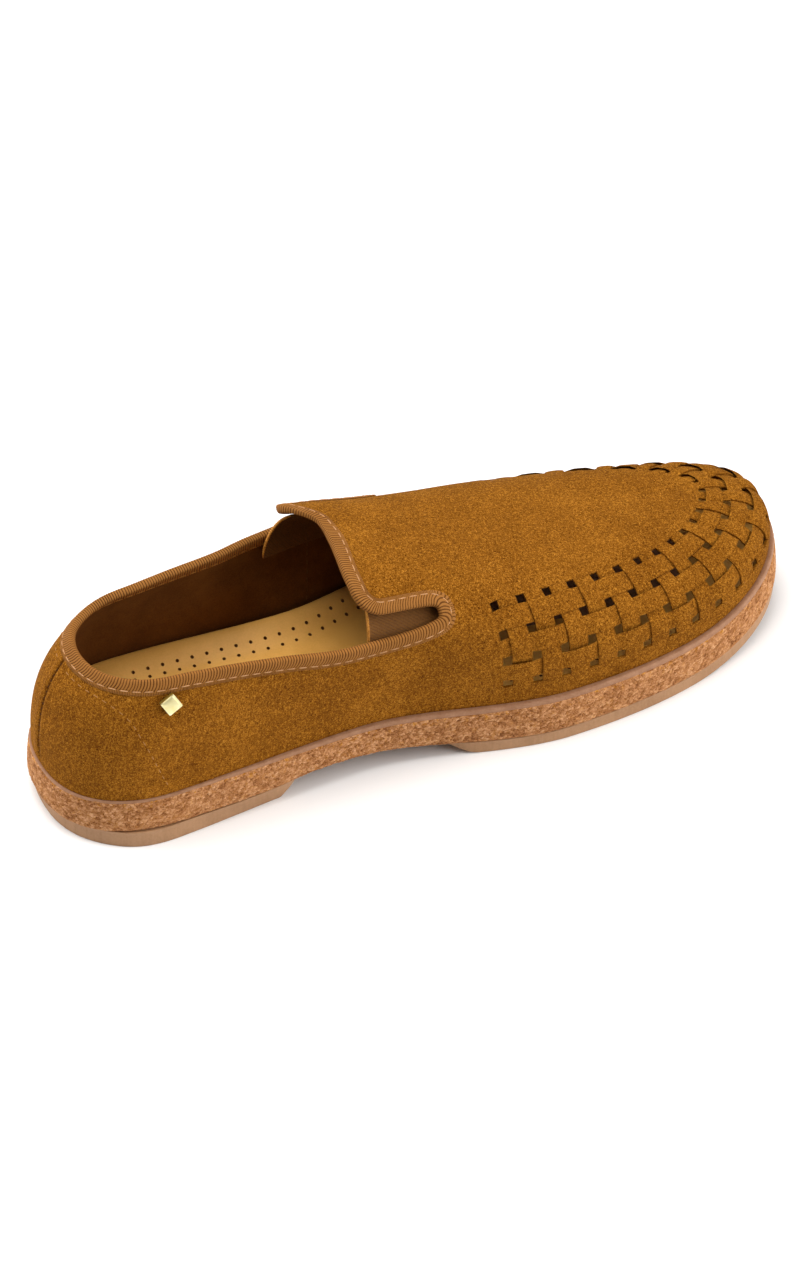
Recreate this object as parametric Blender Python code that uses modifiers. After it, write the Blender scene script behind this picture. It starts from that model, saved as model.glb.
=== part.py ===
"""Woven suede loafer, right foot: a slip-on on a stepped sole.

Sizes are millimetres along the shoe (x from the heel back, y towards the big toe, z up);
the solids are written in metres with the origin under the middle of the shoe.
"""
import math

import bmesh
import bpy
import numpy as np
from mathutils import Matrix, Vector

NAME = "woven_suede_loafer"

LENGTH = 290.0
HEEL_CENTRE = 41.9
HEEL_HALF = 35.5
HEEL_POWER = 2.33
TOE_TIP_Y = 7.0
TOE_POWER = 2.25
TOE_START = 240.0
LATERAL = -1
MEDIAL = 1
# waist_x, waist_y, ball_x, ball_y
SIDE_WIDTHS = {
    LATERAL: (107.9, -33.8, 186.0, -48.4),
    MEDIAL: (108.0, 32.0, 188.0, 45.8),
}

# x, band bottom, band top, lip
SOLE_HEIGHTS = (
    (0.0, 6.4, 19.0, 19.9),
    (40.0, 6.6, 18.8, 19.9),
    (72.0, 6.8, 18.5, 20.0),
    (94.0, 8.4, 18.3, 20.1),
    (112.0, 7.7, 18.0, 20.0),
    (135.0, 6.0, 17.7, 19.8),
    (155.0, 4.8, 17.5, 19.6),
    (220.0, 4.6, 16.8, 19.1),
    (290.0, 4.6, 17.4, 19.7),
)
SPRING_START = 235.0
SPRING_RISE = 8.6
SPRING_POWER = 1.9
BREAST_FLOOR = 78.3
BREAST_TOP = 89.0
ARCH_FRONT = 138.0
TREAD_REAR = 152.0
ARCH_SKIN = 1.1
# x, distance inside the outline: the tread's foot, the top of its side
TREAD_EDGE = (
    (0.0, 1.9, 2.3),
    (10.0, 1.0, 1.4),
    (24.0, -0.8, -0.4),
    (44.0, 0.1, 0.4),
    (62.0, 1.2, 0.6),
    (82.0, 2.2, 0.7),
    (150.0, 0.4, 0.8),
    (290.0, 0.4, 0.8),
)
ARCH_INSET = 4.5
TREAD_ROUND = 0.35
GAP = 0.4

# offset from the outline, share of the band's height
BAND_SIDE = ((-0.7, 0.0), (-0.2, 0.06), (0.0, 0.35), (-0.8, 1.0))
# offset from the outline, share of the lip's height over the band
LIP_SIDE = ((-1.0, 0.25), (-1.1, 0.7), (-1.3, 1.0))
PLATE_DROP = 2.6
WALL = 1.6
RIM_SPARE = 0.3
# x, distance of the upper's foot inside the outline
UPPER_FOOT = (
    (0.0, 1.7),
    (30.0, 1.7),
    (60.0, 2.2),
    (100.0, 2.6),
    (150.0, 2.8),
    (290.0, 2.8),
)

# x, rise over the lip: lateral edge, medial edge, middle
INSOLE_RISE = (
    (0.0, 8.0, 8.0, 5.1),
    (60.0, 7.2, 8.6, 4.3),
    (105.0, 6.5, 8.6, 4.1),
    (135.0, 5.2, 9.4, 3.2),
    (150.0, 4.2, 8.4, 2.7),
    (200.0, 2.9, 3.6, 2.1),
    (290.0, 2.5, 2.5, 1.9),
)
INSOLE_SPACE = 2.4
# distance inside the insole's edge, drop below its level; levels are the edge's, then the middle's
INSOLE_EDGE = ((0.0, 1.0), (0.9, 0.0))
INSOLE_MIDDLE = ((8.0, -0.7), (17.0, 0.0))

# station, ridge x, ridge y, ridge z, squareness, lateral bulge, medial bulge
RIDGE = (
    (0.0, 41.0, 0.0, 75.0, 2.3, 1.7, 1.7),
    (10.0, 42.0, 0.0, 75.5, 2.35, 0.9, -0.2),
    (20.0, 46.0, 0.0, 77.0, 2.45, 0.5, -2.7),
    (32.0, 52.0, 0.5, 79.0, 2.55, 1.7, -3.9),
    (48.0, 58.0, 1.0, 82.0, 2.7, 2.2, -4.5),
    (64.0, 70.0, 1.8, 86.0, 2.85, 2.2, -3.4),
    (80.0, 84.0, 2.5, 88.0, 3.0, 3.4, -0.7),
    (96.0, 97.0, 3.5, 86.0, 3.1, 5.6, 5.0),
    (110.5, 110.5, 4.5, 82.0, 3.2, 7.0, 8.0),
    (141.0, 141.0, 5.0, 74.0, 3.0, 6.0, 5.0),
    (165.0, 163.0, 6.0, 67.4, 2.8, 4.2, 3.2),
    (190.0, 185.0, 7.0, 61.8, 2.6, 2.8, 2.6),
    (220.0, 208.0, 7.5, 56.2, 2.5, 2.5, 2.5),
    (250.0, 225.0, 8.0, 52.6, 2.4, 2.0, 2.0),
    (290.0, 241.0, 8.0, 49.4, 2.4, 2.0, 2.0),
)
# station, height of the wall's top edge: lateral, medial
COLLAR = (
    (0.0, 67.2, 67.2),
    (20.0, 66.2, 67.2),
    (48.0, 66.2, 66.6),
    (80.0, 62.8, 64.6),
    (104.0, 59.0, 62.6),
    (122.0, 59.2, 62.2),
    (141.0, 60.6, 62.4),
)
# station, part of the girth below the plain vamp
VAMP_EDGE = (
    (165.0, 0.62),
    (190.0, 0.63),
    (230.0, 0.66),
    (265.0, 0.70),
    (290.0, 0.72),
)
NOTCH_START = 110.5
TONGUE_REAR = {LATERAL: 111.0, MEDIAL: 105.5}
TONGUE_MIDDLE = 114.0
# share of the way up to the ridge where the tongue's rear edge starts forward, and where it is all forward
SCOOP = {LATERAL: (0.15, 1.0), MEDIAL: (0.0, 0.75)}
NOTCH_END = 141.0
# width of the notch at its rear and at its front
SLOT = {LATERAL: (12.5, 8.0), MEDIAL: (9.0, 6.0)}
TONGUE_CORNER = 9.0
CORNER_STEPS = 4
CORNER_ROWS = 2
CORNER_HUB = 0.6
VAMP_ROWS = (0.0, 0.15, 0.31, 0.6, 1.0)

QUARTER_X = (51.0, 60.0, 69.0, 78.0, 87.0, 96.0, 104.0)
NOTCH_X = (NOTCH_START, 119.0, 125.5, 131.5, 135.5, 138.5, 140.3, 141.0)
WEAVE_START = 152.0
STRIPS_PER_SIDE = 14
STRIP_SHARE = 0.68
LONG_STRIPS = 5
ROW_GAP_SHARE = 0.42
STRIP_RISE = 0.5
STRIP_DIP = 0.4
STRIP_NARROW = 0.35

BINDING_OUT = 4.5
BINDING_IN = 4.0
BINDING_THICK = 0.6
BINDING_GAP = 0.4
# share of the thickness beyond the edge, share beyond the wall's face
BINDING_SHOULDER = (0.6, 0.45)

GORE_DEPTH = 3.5
GORE_THICK = 1.0
# station of the gore's rear edge at its foot and at its top
GORE_REAR = {LATERAL: (113.0, 116.0), MEDIAL: (99.5, 111.0)}
GORE_CURVE = 1.8
GORE_FRONT = 149.0
GORE_BELOW = 8.0
GORE_ABOVE = 6.0

BADGE_STATION = 38.0
BADGE_HEIGHT = 58.9
BADGE_SIDE = 5.8
BADGE_THICK = 1.8
BADGE_TURN = 30.0
BADGE_BORDER = 0.8
BADGE_RECESS = 0.5
CLUTCH_RADIUS = 3.8
CLUTCH_THICK = 1.4
CLUTCH_SIDES = 24
CLUTCH_BORDER = 2.4
CLUTCH_RECESS = 0.3
METAL_GAP = 0.7
METAL_BEVEL = 0.35

LEAN_START = 165.0
LEAN_SPAN = 40.0
SMOOTH_BELOW = 40.0

HEEL_STEPS = 7
TOE_STEPS = 7
BODY_X = tuple(np.linspace(HEEL_CENTRE, TOE_START, 21))
TREAD_X = (
    HEEL_CENTRE, 52.0, 62.0, 71.0, BREAST_FLOOR, 80.0, 82.0, 84.5, BREAST_TOP, 96.0, 105.0, 114.0,
    123.0, 131.0, ARCH_FRONT, 141.5, 145.0, 148.5, TREAD_REAR, 161.0, 170.0, 180.0, 190.0, 200.0,
    210.0, 220.0, 230.0, TOE_START,
)


def table(rows, column, key):
    """Smooth value of a column at a key, through every row."""
    keys = np.array([row[0] for row in rows])
    values = np.array([row[column] for row in rows])
    key = min(max(key, keys[0]), keys[-1])
    slopes = np.gradient(values, keys)
    i = int(min(max(np.searchsorted(keys, key) - 1, 0), len(keys) - 2))
    span = keys[i + 1] - keys[i]
    u = (key - keys[i]) / span
    a = values[i] * (1 + 2 * u) * (1 - u) ** 2 + values[i + 1] * u * u * (3 - 2 * u)
    b = span * (slopes[i] * u * (1 - u) ** 2 - slopes[i + 1] * u * u * (1 - u))
    return a + b


def ease(u):
    """Smooth step from 0 to 1."""
    u = min(max(u, 0.0), 1.0)
    return u * u * (3 - 2 * u)


def half_outline(side):
    """Dense plan outline of one side, from the heel back to the toe tip."""
    waist_x, waist_y, ball_x, ball_y = SIDE_WIDTHS[side]
    points = []
    for a in np.linspace(0.0, math.pi / 2, 80)[:-1]:
        x = HEEL_CENTRE * (1 - math.cos(a) ** (2 / HEEL_POWER))
        points.append((x, side * HEEL_HALF * math.sin(a) ** (2 / HEEL_POWER)))
    for x in np.arange(HEEL_CENTRE, waist_x, 1.5):
        u = ease((x - HEEL_CENTRE) / (waist_x - HEEL_CENTRE))
        points.append((x, side * HEEL_HALF + (waist_y - side * HEEL_HALF) * u))
    for x in np.arange(waist_x, ball_x, 1.5):
        u = ease((x - waist_x) / (ball_x - waist_x))
        points.append((x, waist_y + (ball_y - waist_y) * u))
    for a in np.linspace(0.0, math.pi / 2, 120):
        x = ball_x + (LENGTH - ball_x) * math.sin(a) ** (2 / TOE_POWER)
        y = TOE_TIP_Y + (ball_y - TOE_TIP_Y) * max(math.cos(a), 0.0) ** (2 / TOE_POWER)
        points.append((x, y))
    points = np.array(points)
    steps = np.hypot(*np.diff(points, axis=0).T)
    keep = np.concatenate([[True], steps > 1e-6])
    points = points[keep]
    arc = np.concatenate([[0.0], np.cumsum(np.hypot(*np.diff(points, axis=0).T))])
    return points, arc


OUTLINE = {side: half_outline(side) for side in (LATERAL, MEDIAL)}
MIDDLE_Y = 0.5 * (SIDE_WIDTHS[LATERAL][3] + SIDE_WIDTHS[MEDIAL][3])


def arc_at(side, station):
    """Arc length along a side at a station (stations equal x between heel and toe)."""
    points, arc = OUTLINE[side]
    heel_arc = np.interp(HEEL_CENTRE, points[:, 0], arc)
    toe_arc = np.interp(TOE_START, points[:, 0], arc)
    if station < HEEL_CENTRE:
        return heel_arc * station / HEEL_CENTRE
    if station > TOE_START:
        return toe_arc + (arc[-1] - toe_arc) * (station - TOE_START) / (LENGTH - TOE_START)
    return np.interp(station, points[:, 0], arc)


def foot_point(side, station, offset):
    """Plan point of the outline at a station, moved along the outward normal."""
    points, arc = OUTLINE[side]
    s = arc_at(side, station)

    def at(value):
        if value < 0:
            mirrored = OUTLINE[-side]
            return np.array([np.interp(-value, mirrored[1], mirrored[0][:, k]) for k in (0, 1)])
        if value > arc[-1]:
            mirrored = OUTLINE[-side]
            back = mirrored[1][-1] - (value - arc[-1])
            return np.array([np.interp(back, mirrored[1], mirrored[0][:, k]) for k in (0, 1)])
        return np.array([np.interp(value, arc, points[:, k]) for k in (0, 1)])

    along = at(s + 2.0) - at(s - 2.0)
    along /= np.linalg.norm(along)
    outward = np.array([-along[1], along[0]]) * side
    return at(s) + outward * offset, outward


def spring(x):
    """Rise of the sole towards the toe."""
    u = max(x - SPRING_START, 0.0) / (LENGTH - SPRING_START)
    return SPRING_RISE * u ** SPRING_POWER


def band_bottom(x):
    return table(SOLE_HEIGHTS, 1, x) + spring(x)


def band_top(x):
    return table(SOLE_HEIGHTS, 2, x) + spring(x)


def lip(x):
    return table(SOLE_HEIGHTS, 3, x) + spring(x)


def foot_inset(x):
    return table(UPPER_FOOT, 1, x)


def rim_inset(x):
    """Inner face of the rim that carries the upper."""
    return foot_inset(x) + WALL + RIM_SPARE


def insole_inset(x):
    return foot_inset(x) + INSOLE_SPACE


def rear_edge(side, share):
    """Station of the tongue's rear edge, from its corner to its middle on the ridge."""
    corner = TONGUE_REAR[side]
    start, end = SCOOP[side]
    return corner + (TONGUE_MIDDLE - corner) * ease((share - start) / (end - start))


def tread_bottom(x):
    """Underside of the tread: flat heel, raised arch, flat forefoot, toe spring."""
    high = band_bottom(x) - GAP - ARCH_SKIN
    if x <= BREAST_FLOOR:
        return 0.0
    if x < BREAST_TOP:
        return high * math.sin(0.5 * math.pi * (x - BREAST_FLOOR) / (BREAST_TOP - BREAST_FLOOR))
    if x < ARCH_FRONT:
        return high
    if x < TREAD_REAR:
        return high * (1 - ease((x - ARCH_FRONT) / (TREAD_REAR - ARCH_FRONT)))
    return spring(x)


def tread_inset(x, column=1):
    """The tread steps in under the arch."""
    rear = ease((x - BREAST_FLOOR - 3.0) / (BREAST_TOP - BREAST_FLOOR - 3.0))
    front = ease((x - ARCH_FRONT + 4.0) / (TREAD_REAR - ARCH_FRONT))
    edge = table(TREAD_EDGE, column, x)
    return edge + (ARCH_INSET - edge) * (rear - front)


def body_stations(middle):
    heel = [HEEL_CENTRE * k / HEEL_STEPS for k in range(HEEL_STEPS)]
    toe = [TOE_START + (LENGTH - TOE_START) * (k + 1) / TOE_STEPS for k in range(TOE_STEPS)]
    return heel + list(middle) + toe


def ring(stations, offset, height, medial_height=None):
    """Closed loop: heel, lateral side, toe, medial side. Offset and height may follow x."""
    loop = []
    for side, order in ((LATERAL, stations), (MEDIAL, stations[-2:0:-1])):
        level = medial_height if medial_height and side == MEDIAL else height
        for station in order:
            edge, _ = foot_point(side, station, 0.0)
            shift = offset(edge[0]) if callable(offset) else offset
            point, _ = foot_point(side, station, shift)
            loop.append((point[0], point[1], level(edge[0])))
    return loop


def ladder(loop_size, first, upward):
    """Faces across a loop between facing stations."""
    half = loop_size // 2
    faces = []
    for i in range(half):
        a, b = first + i, first + i + 1
        c = first + (loop_size - i - 1) % loop_size
        d = first + (loop_size - i) % loop_size
        face = [a, b, c, d]
        face = [v for k, v in enumerate(face) if v not in face[:k]]
        faces.append(face if upward else face[::-1])
    return faces


def stack(rings):
    """Solid through loops listed from the underside, round the outside, to the top middle."""
    size = len(rings[0])
    points = [p for loop in rings for p in loop]
    faces = ladder(size, 0, False)
    for k in range(len(rings) - 1):
        for i in range(size):
            j = (i + 1) % size
            faces.append([k * size + i, k * size + j, (k + 1) * size + j, (k + 1) * size + i])
    faces += ladder(size, (len(rings) - 1) * size, True)
    return points, faces


def collection(name):
    group = bpy.data.collections.new(name)
    bpy.context.scene.collection.children.link(group)
    return group


def material(name, colour, roughness, metallic=0.0):
    paint = bpy.data.materials.new(name)
    paint.use_nodes = True
    shader = paint.node_tree.nodes["Principled BSDF"]
    shader.inputs["Base Color"].default_value = (*colour, 1.0)
    shader.inputs["Roughness"].default_value = roughness
    shader.inputs["Metallic"].default_value = metallic
    paint.diffuse_color = (*colour, 1.0)
    return paint


def place(point):
    return ((point[0] - LENGTH / 2) / 1000, (point[1] - MIDDLE_Y) / 1000, point[2] / 1000)


def solid(name, points, faces, paint, group):
    mesh = bpy.data.meshes.new(name)
    mesh.from_pydata([place(p) for p in points], [], faces)
    mesh.validate()
    return finished(name, mesh, paint, group)


def finished(name, mesh, paint, group):
    """Object of a mesh: painted, smooth where it is round, and in the shoe's collection."""
    mesh.materials.append(paint)
    mesh.shade_smooth()
    mesh.set_sharp_from_angle(angle=math.radians(SMOOTH_BELOW))
    part = bpy.data.objects.new(name, mesh)
    group.objects.link(part)
    return part


RIB_CACHE = {}
RIB_STEPS = np.linspace(0.0, math.pi / 2, 160)


def rib_points(side, station, angles):
    """Points of one rib of the upper, from the sole (0) to the ridge (a right angle)."""
    edge, _ = foot_point(side, station, 0.0)
    base, outward = foot_point(side, station, -foot_inset(edge[0]))
    rx, ry, rz, power = (table(RIDGE, k, station) for k in (1, 2, 3, 4))
    bulge = table(RIDGE, 5 if side == LATERAL else 6, station)
    bottom = lip(edge[0]) + GAP
    e = 1 - np.clip(np.cos(angles), 0.0, 1.0) ** (2 / power)
    g = np.sin(angles) ** (2 / power)
    reach = np.array([rx, ry]) - base
    plan = base + reach * e[:, None] + outward * (bulge * np.sin(2 * angles))[:, None]
    step = 2.0
    rise = table(RIDGE, 3, station + step) - table(RIDGE, 3, station - step)
    run = table(RIDGE, 1, station + step) - table(RIDGE, 1, station - step)
    lean = ease((station - LEAN_START) / LEAN_SPAN) * rise / max(run, 0.1) * -reach[0]
    z = bottom + (rz - bottom) * g + lean * (1 - e) * e
    return np.column_stack([plan, z])


def rib(side, station):
    """Rib points with their running length."""
    key = (side, round(station, 5))
    if key not in RIB_CACHE:
        points = rib_points(side, station, RIB_STEPS)
        length = np.concatenate([[0.0], np.cumsum(np.linalg.norm(np.diff(points, axis=0), axis=1))])
        RIB_CACHE[key] = (points, length)
    return RIB_CACHE[key]


def spot(side, station, part):
    """Point on the outer face of the upper; part runs 0 at the sole to 1 on the ridge."""
    if station < 0:
        return spot(-side, -station, part)
    points, length = rib(side, station)
    value = min(max(part, 0.0), 1.0) * length[-1]
    return np.array([np.interp(value, length, points[:, k]) for k in range(3)])


def girth(side, station):
    return rib(side, abs(station))[1][-1]


def normal(side, station, part):
    """Outward normal of the upper."""
    low, high = max(part - 0.012, 0.0), min(part + 0.012, 1.0)
    ahead = min(station + 0.8, LENGTH)
    along = spot(side, ahead, part) - spot(side, station - 0.8, part)
    up = spot(side, station, high) - spot(side, station, low)
    n = np.cross(along, up) * (1 if side == LATERAL else -1)
    return n / np.linalg.norm(n)


def part_at_height(side, station, height):
    points, length = rib(side, station)
    return float(np.interp(height, points[:, 2], length) / length[-1])


def slot_width(side, station):
    u = min(max((station - NOTCH_START) / (NOTCH_END - NOTCH_START), -1.0), 1.0)
    rear, front = SLOT[side]
    straight = rear + (front - rear) * u
    if u <= 0:
        return straight, straight
    return straight, straight * (1 - u ** 5) ** 0.2


def collar_part(side, station):
    """Upper edge of the side wall: collar, notch, then the border of the plain vamp."""
    if station <= NOTCH_END:
        straight, width = slot_width(side, station)
        lift = 0.5 * (straight - width) if station > NOTCH_START else 0.0
        edge = part_at_height(side, station, table(COLLAR, 1 if side == LATERAL else 2, station))
        return edge + lift / girth(side, station)
    start = collar_part(side, NOTCH_END)
    first = VAMP_EDGE[0]
    if station < first[0]:
        u = ease((station - NOTCH_END) / (first[0] - NOTCH_END))
        return start + (first[1] - start) * u
    return table(VAMP_EDGE, 1, station)


def tongue_part(side, station):
    """Lower edge of the tongue and vamp."""
    if station >= NOTCH_END:
        return collar_part(side, station)
    return collar_part(side, station) + slot_width(side, station)[1] / girth(side, station)


def strip_lines():
    """Row lines across the side wall as parts of its height."""
    lines = [0.0]
    for k in range(LONG_STRIPS):
        lines.append(lines[-1] + 1.0)
        if k < LONG_STRIPS - 1:
            lines.append(lines[-1] + ROW_GAP_SHARE)
    return [value / lines[-1] for value in lines]


ROWS = strip_lines()


def weave_stations():
    """Stations of both edges of every cross strip on one side; the last strip spans the toe."""
    first = 0.5 * sum(arc_at(side, WEAVE_START) for side in (LATERAL, MEDIAL))
    last = 0.5 * sum(arc_at(side, LENGTH) for side in (LATERAL, MEDIAL))
    pitch = (last - first) / (STRIPS_PER_SIDE + 0.5 * STRIP_SHARE)
    fine = np.linspace(WEAVE_START, LENGTH, 400)
    arcs = [0.5 * sum(arc_at(side, t) for side in (LATERAL, MEDIAL)) for t in fine]
    marks = []
    for k in range(STRIPS_PER_SIDE):
        marks += [first + k * pitch, first + (k + STRIP_SHARE) * pitch]
    marks.append(first + STRIPS_PER_SIDE * pitch)
    return [float(np.interp(m, arcs, fine)) for m in marks]


class Shell:
    """Outer skin, its inner copy and the edge walls that close them into one solid."""

    def __init__(self):
        self.points = []
        self.inner_of = []
        self.outer = []
        self.inner = []

    def add(self, point, inner):
        self.points.append(tuple(point))
        self.inner_of.append(inner)
        return len(self.points) - 1

    def pair(self, side, station, part, rise=0.0):
        """Outer vertex on the upper with its inner partner below it."""
        at = spot(side, station, part)
        n = normal(side, station, part)
        if part == 0.0:
            n = np.array([n[0], n[1], 0.0]) / math.hypot(n[0], n[1])
        inner = self.add(at - n * WALL, None)
        return self.add(at + n * rise, inner)

    def low(self, high, toward, side, station, part):
        """Dipped vertex under a raised one, drawn in towards a point."""
        at = spot(side, station, part)
        n = normal(side, station, part)
        pull = toward - at
        pull /= np.linalg.norm(pull)
        return self.add(at - n * STRIP_DIP + pull * STRIP_NARROW, self.inner_of[high])

    def face(self, vertices, flip=False):
        vertices = list(vertices)[::-1] if flip else list(vertices)
        self.outer.append(vertices)
        back = []
        for v in vertices:
            if self.inner_of[v] not in back:
                back.append(self.inner_of[v])
        self.inner.append(back[::-1])

    def wall(self, vertices, flip=False):
        """Outer face with no inner copy."""
        self.outer.append(list(vertices)[::-1] if flip else list(vertices))

    def closed(self):
        used = {}
        for face in self.outer:
            for k, a in enumerate(face):
                used[(a, face[(k + 1) % len(face)])] = True
        edges = []
        for a, b in used:
            if (b, a) not in used:
                ia, ib = self.inner_of[a], self.inner_of[b]
                edges.append([b, a, ia] if ia == ib else [b, a, ia, ib])
        return self.points, self.outer + self.inner + edges


def upper_shell():
    """The hollow upper: quarters, tongue and vamp, and the woven forefoot with its gaps."""
    shell = Shell()
    heel = [HEEL_CENTRE * k / HEEL_STEPS for k in range(HEEL_STEPS)]
    plain = heel + [HEEL_CENTRE] + list(QUARTER_X) + list(NOTCH_X)
    weave = weave_stations()
    last_row = len(ROWS) - 1
    strip_count = 2 * STRIPS_PER_SIDE + 1

    def column(side, station, woven):
        top = collar_part(side, station)
        marks = []
        for r, share in enumerate(ROWS):
            raised = STRIP_RISE if woven and 0 < r < last_row else 0.0
            marks.append(shell.pair(side, station, top * share, rise=raised))
        return marks

    order = [(LATERAL, t, False) for t in plain]
    order += [(LATERAL, t, k > 0) for k, t in enumerate(weave)]
    order += [(MEDIAL, t, k > 0) for k, t in reversed(list(enumerate(weave)))]
    order += [(MEDIAL, t, False) for t in reversed(plain[1:])]
    columns = [column(*item) for item in order]
    first_weave = len(plain)
    last_weave = first_weave + 2 * strip_count - 1

    def kind(strip, row):
        """over: the cross strip lies on top; under: the long strip does; plain: joined."""
        if strip in (0, strip_count - 1) or row in (0, LONG_STRIPS - 1):
            return "plain"
        return "over" if (strip + row) % 2 else "under"

    lows = {}

    def dipped(i, r):
        if (i, r) not in lows:
            side, station, _ = order[i]
            strip, edge = divmod(i - first_weave, 2)
            row = r // 2
            top = collar_part(side, station)
            if kind(strip, row) == "over":
                other = r + 1 if r % 2 == 0 else r - 1
                toward = spot(side, station, top * ROWS[other])
            else:
                j = i + 1 if edge == 0 else i - 1
                other_side, other_station, _ = order[j]
                toward = spot(other_side, other_station, collar_part(other_side, other_station) * ROWS[r])
            lows[(i, r)] = shell.low(columns[i][r], toward, side, station, top * ROWS[r])
        return lows[(i, r)]

    def corner(i, r, along):
        """Vertex used by a strip segment: dipped where the strip passes below."""
        strip = (i - first_weave) // 2
        state = kind(strip, r // 2)
        below = state == ("over" if along == "long" else "under")
        return dipped(i, r) if below else columns[i][r]

    count = len(columns)
    for i in range(count):
        j = (i + 1) % count
        a, b = columns[i], columns[j]
        inside = first_weave <= i and j <= last_weave and j > i
        gap_column = inside and (i - first_weave) % 2 == 1
        for r in range(last_row):
            gap_row = r % 2 == 1
            if not inside:
                shell.face([a[r], b[r], b[r + 1], a[r + 1]])
            elif gap_column and gap_row:
                continue
            elif gap_column:
                cell = [corner(i, r, "long"), corner(j, r, "long")]
                shell.face(cell + [corner(j, r + 1, "long"), corner(i, r + 1, "long")])
            elif gap_row:
                cell = [corner(i, r, "cross"), corner(j, r, "cross")]
                shell.face(cell + [corner(j, r + 1, "cross"), corner(i, r + 1, "cross")])
            else:
                shell.face([a[r], b[r], b[r + 1], a[r + 1]])
                state = kind((i - first_weave) // 2, r // 2)
                if state == "over":
                    shell.wall([dipped(i, r), a[r], a[r + 1], dipped(i, r + 1)])
                    shell.wall([b[r], dipped(j, r), dipped(j, r + 1), b[r + 1]])
                elif state == "under":
                    shell.wall([dipped(i, r), dipped(j, r), b[r], a[r]])
                    shell.wall([a[r + 1], b[r + 1], dipped(j, r + 1), dipped(i, r + 1)])

    ridge = {}
    tongue = list(NOTCH_X)
    tops = tongue + weave
    tops_grid = {}
    for side in (LATERAL, MEDIAL):
        for k, station in enumerate(tops):
            edge = tongue_part(side, TONGUE_REAR[side] if k == 0 else station)
            marks = []
            for row, share in enumerate(VAMP_ROWS):
                if row == len(VAMP_ROWS) - 1:
                    if k not in ridge:
                        ridge[k] = shell.pair(LATERAL, TONGUE_MIDDLE if k == 0 else station, 1.0)
                    marks.append(ridge[k])
                elif row == 0 and station >= NOTCH_END:
                    found = [n for n, item in enumerate(order) if item[:2] == (side, station)]
                    marks.append(columns[found[0]][last_row])
                elif row < CORNER_ROWS and k == 0:
                    marks.append(None)
                else:
                    at = rear_edge(side, share) if k == 0 else station
                    marks.append(shell.pair(side, at, edge + (1 - edge) * share))
            tops_grid[(side, k)] = marks
        flip = side == MEDIAL
        rows = len(VAMP_ROWS) - 1
        for k in range(len(tops) - 1):
            a, b = tops_grid[(side, k)], tops_grid[(side, k + 1)]
            for row in range(rows):
                cell = [a[row], b[row], b[row + 1], a[row + 1]]
                if k == 0 and row < CORNER_ROWS:
                    continue
                shell.face(cell, flip)
        a, b = tops_grid[(side, 0)], tops_grid[(side, 1)]
        arc = [shell.pair(side, *mark) for mark in corner_arc(side)]
        rim = [a[CORNER_ROWS]] + arc + b[:CORNER_ROWS + 1]
        inside = CORNER_HUB * TONGUE_CORNER
        hub_station = TONGUE_REAR[side] + inside
        hub_part = tongue_part(side, hub_station) + inside / girth(side, hub_station)
        hub = shell.pair(side, hub_station, hub_part)
        for k in range(len(rim)):
            shell.face([hub, rim[k], rim[(k + 1) % len(rim)]], flip)
    a, b = tops_grid[(LATERAL, len(tops) - 1)], tops_grid[(MEDIAL, len(tops) - 1)]
    for row in range(len(VAMP_ROWS) - 2):
        shell.face([a[row], b[row], b[row + 1], a[row + 1]])
    shell.face([a[-2], b[-2], a[-1]])
    return shell.closed()


def corner_arc(side):
    """Round rear corner of the tongue, from its rear edge to its side edge."""
    marks = []
    size = girth(side, TONGUE_REAR[side])
    for k in range(1, CORNER_STEPS + 1):
        turn = 0.5 * math.pi * k / (CORNER_STEPS + 1)
        ahead = TONGUE_CORNER * (1 - math.cos(turn))
        up = TONGUE_CORNER * (1 - math.sin(turn))
        station = TONGUE_REAR[side] + ahead
        marks.append((station, tongue_part(side, station) + up / size))
    return marks


def edge_path(side):
    """Collar, notch and tongue edge of one side as station and part pairs."""
    heel = [HEEL_CENTRE * k / HEEL_STEPS for k in range(HEEL_STEPS)]
    stations = heel + [HEEL_CENTRE] + list(QUARTER_X) + list(NOTCH_X)
    path = [(t, collar_part(side, t)) for t in stations]
    path += [(t, tongue_part(side, t)) for t in reversed(NOTCH_X[1:-1])]
    path += reversed(corner_arc(side))
    edge = tongue_part(side, TONGUE_REAR[side])
    path += [(rear_edge(side, share), edge + (1 - edge) * share) for share in VAMP_ROWS[CORNER_ROWS:]]
    return path


def binding_section(side, station, part, across):
    """One folded section of the binding; across points from the edge into the upper."""
    near = spot(side, station, part)
    n = normal(side, station, part)
    into = spot(side, station + across[0], part + across[1]) - near
    into /= np.linalg.norm(into)

    def leg(depth, height):
        t, p = station + across[0] * depth, part + across[1] * depth
        return spot(side, t, p) + normal(side, t, p) * height

    gap, thick = BINDING_GAP, BINDING_THICK
    out_face, in_face = gap, -WALL - gap
    fold = near - into * gap
    far = near - into * (gap + thick)
    middle = -WALL / 2
    beyond, aside = (share * thick for share in BINDING_SHOULDER)
    return [
        leg(BINDING_OUT, out_face + thick),
        leg(BINDING_OUT / 2, out_face + thick),
        near + n * (out_face + thick),
        near - into * (gap + beyond) + n * (out_face + aside),
        far + n * middle,
        near - into * (gap + beyond) + n * (in_face - aside),
        near + n * (in_face - thick),
        leg(BINDING_IN / 2, in_face - thick),
        leg(BINDING_IN, in_face - thick),
        leg(BINDING_IN, in_face),
        leg(BINDING_IN / 2, in_face),
        fold + n * in_face,
        fold + n * out_face,
        leg(BINDING_OUT / 2, out_face),
        leg(BINDING_OUT, out_face),
    ]


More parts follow.
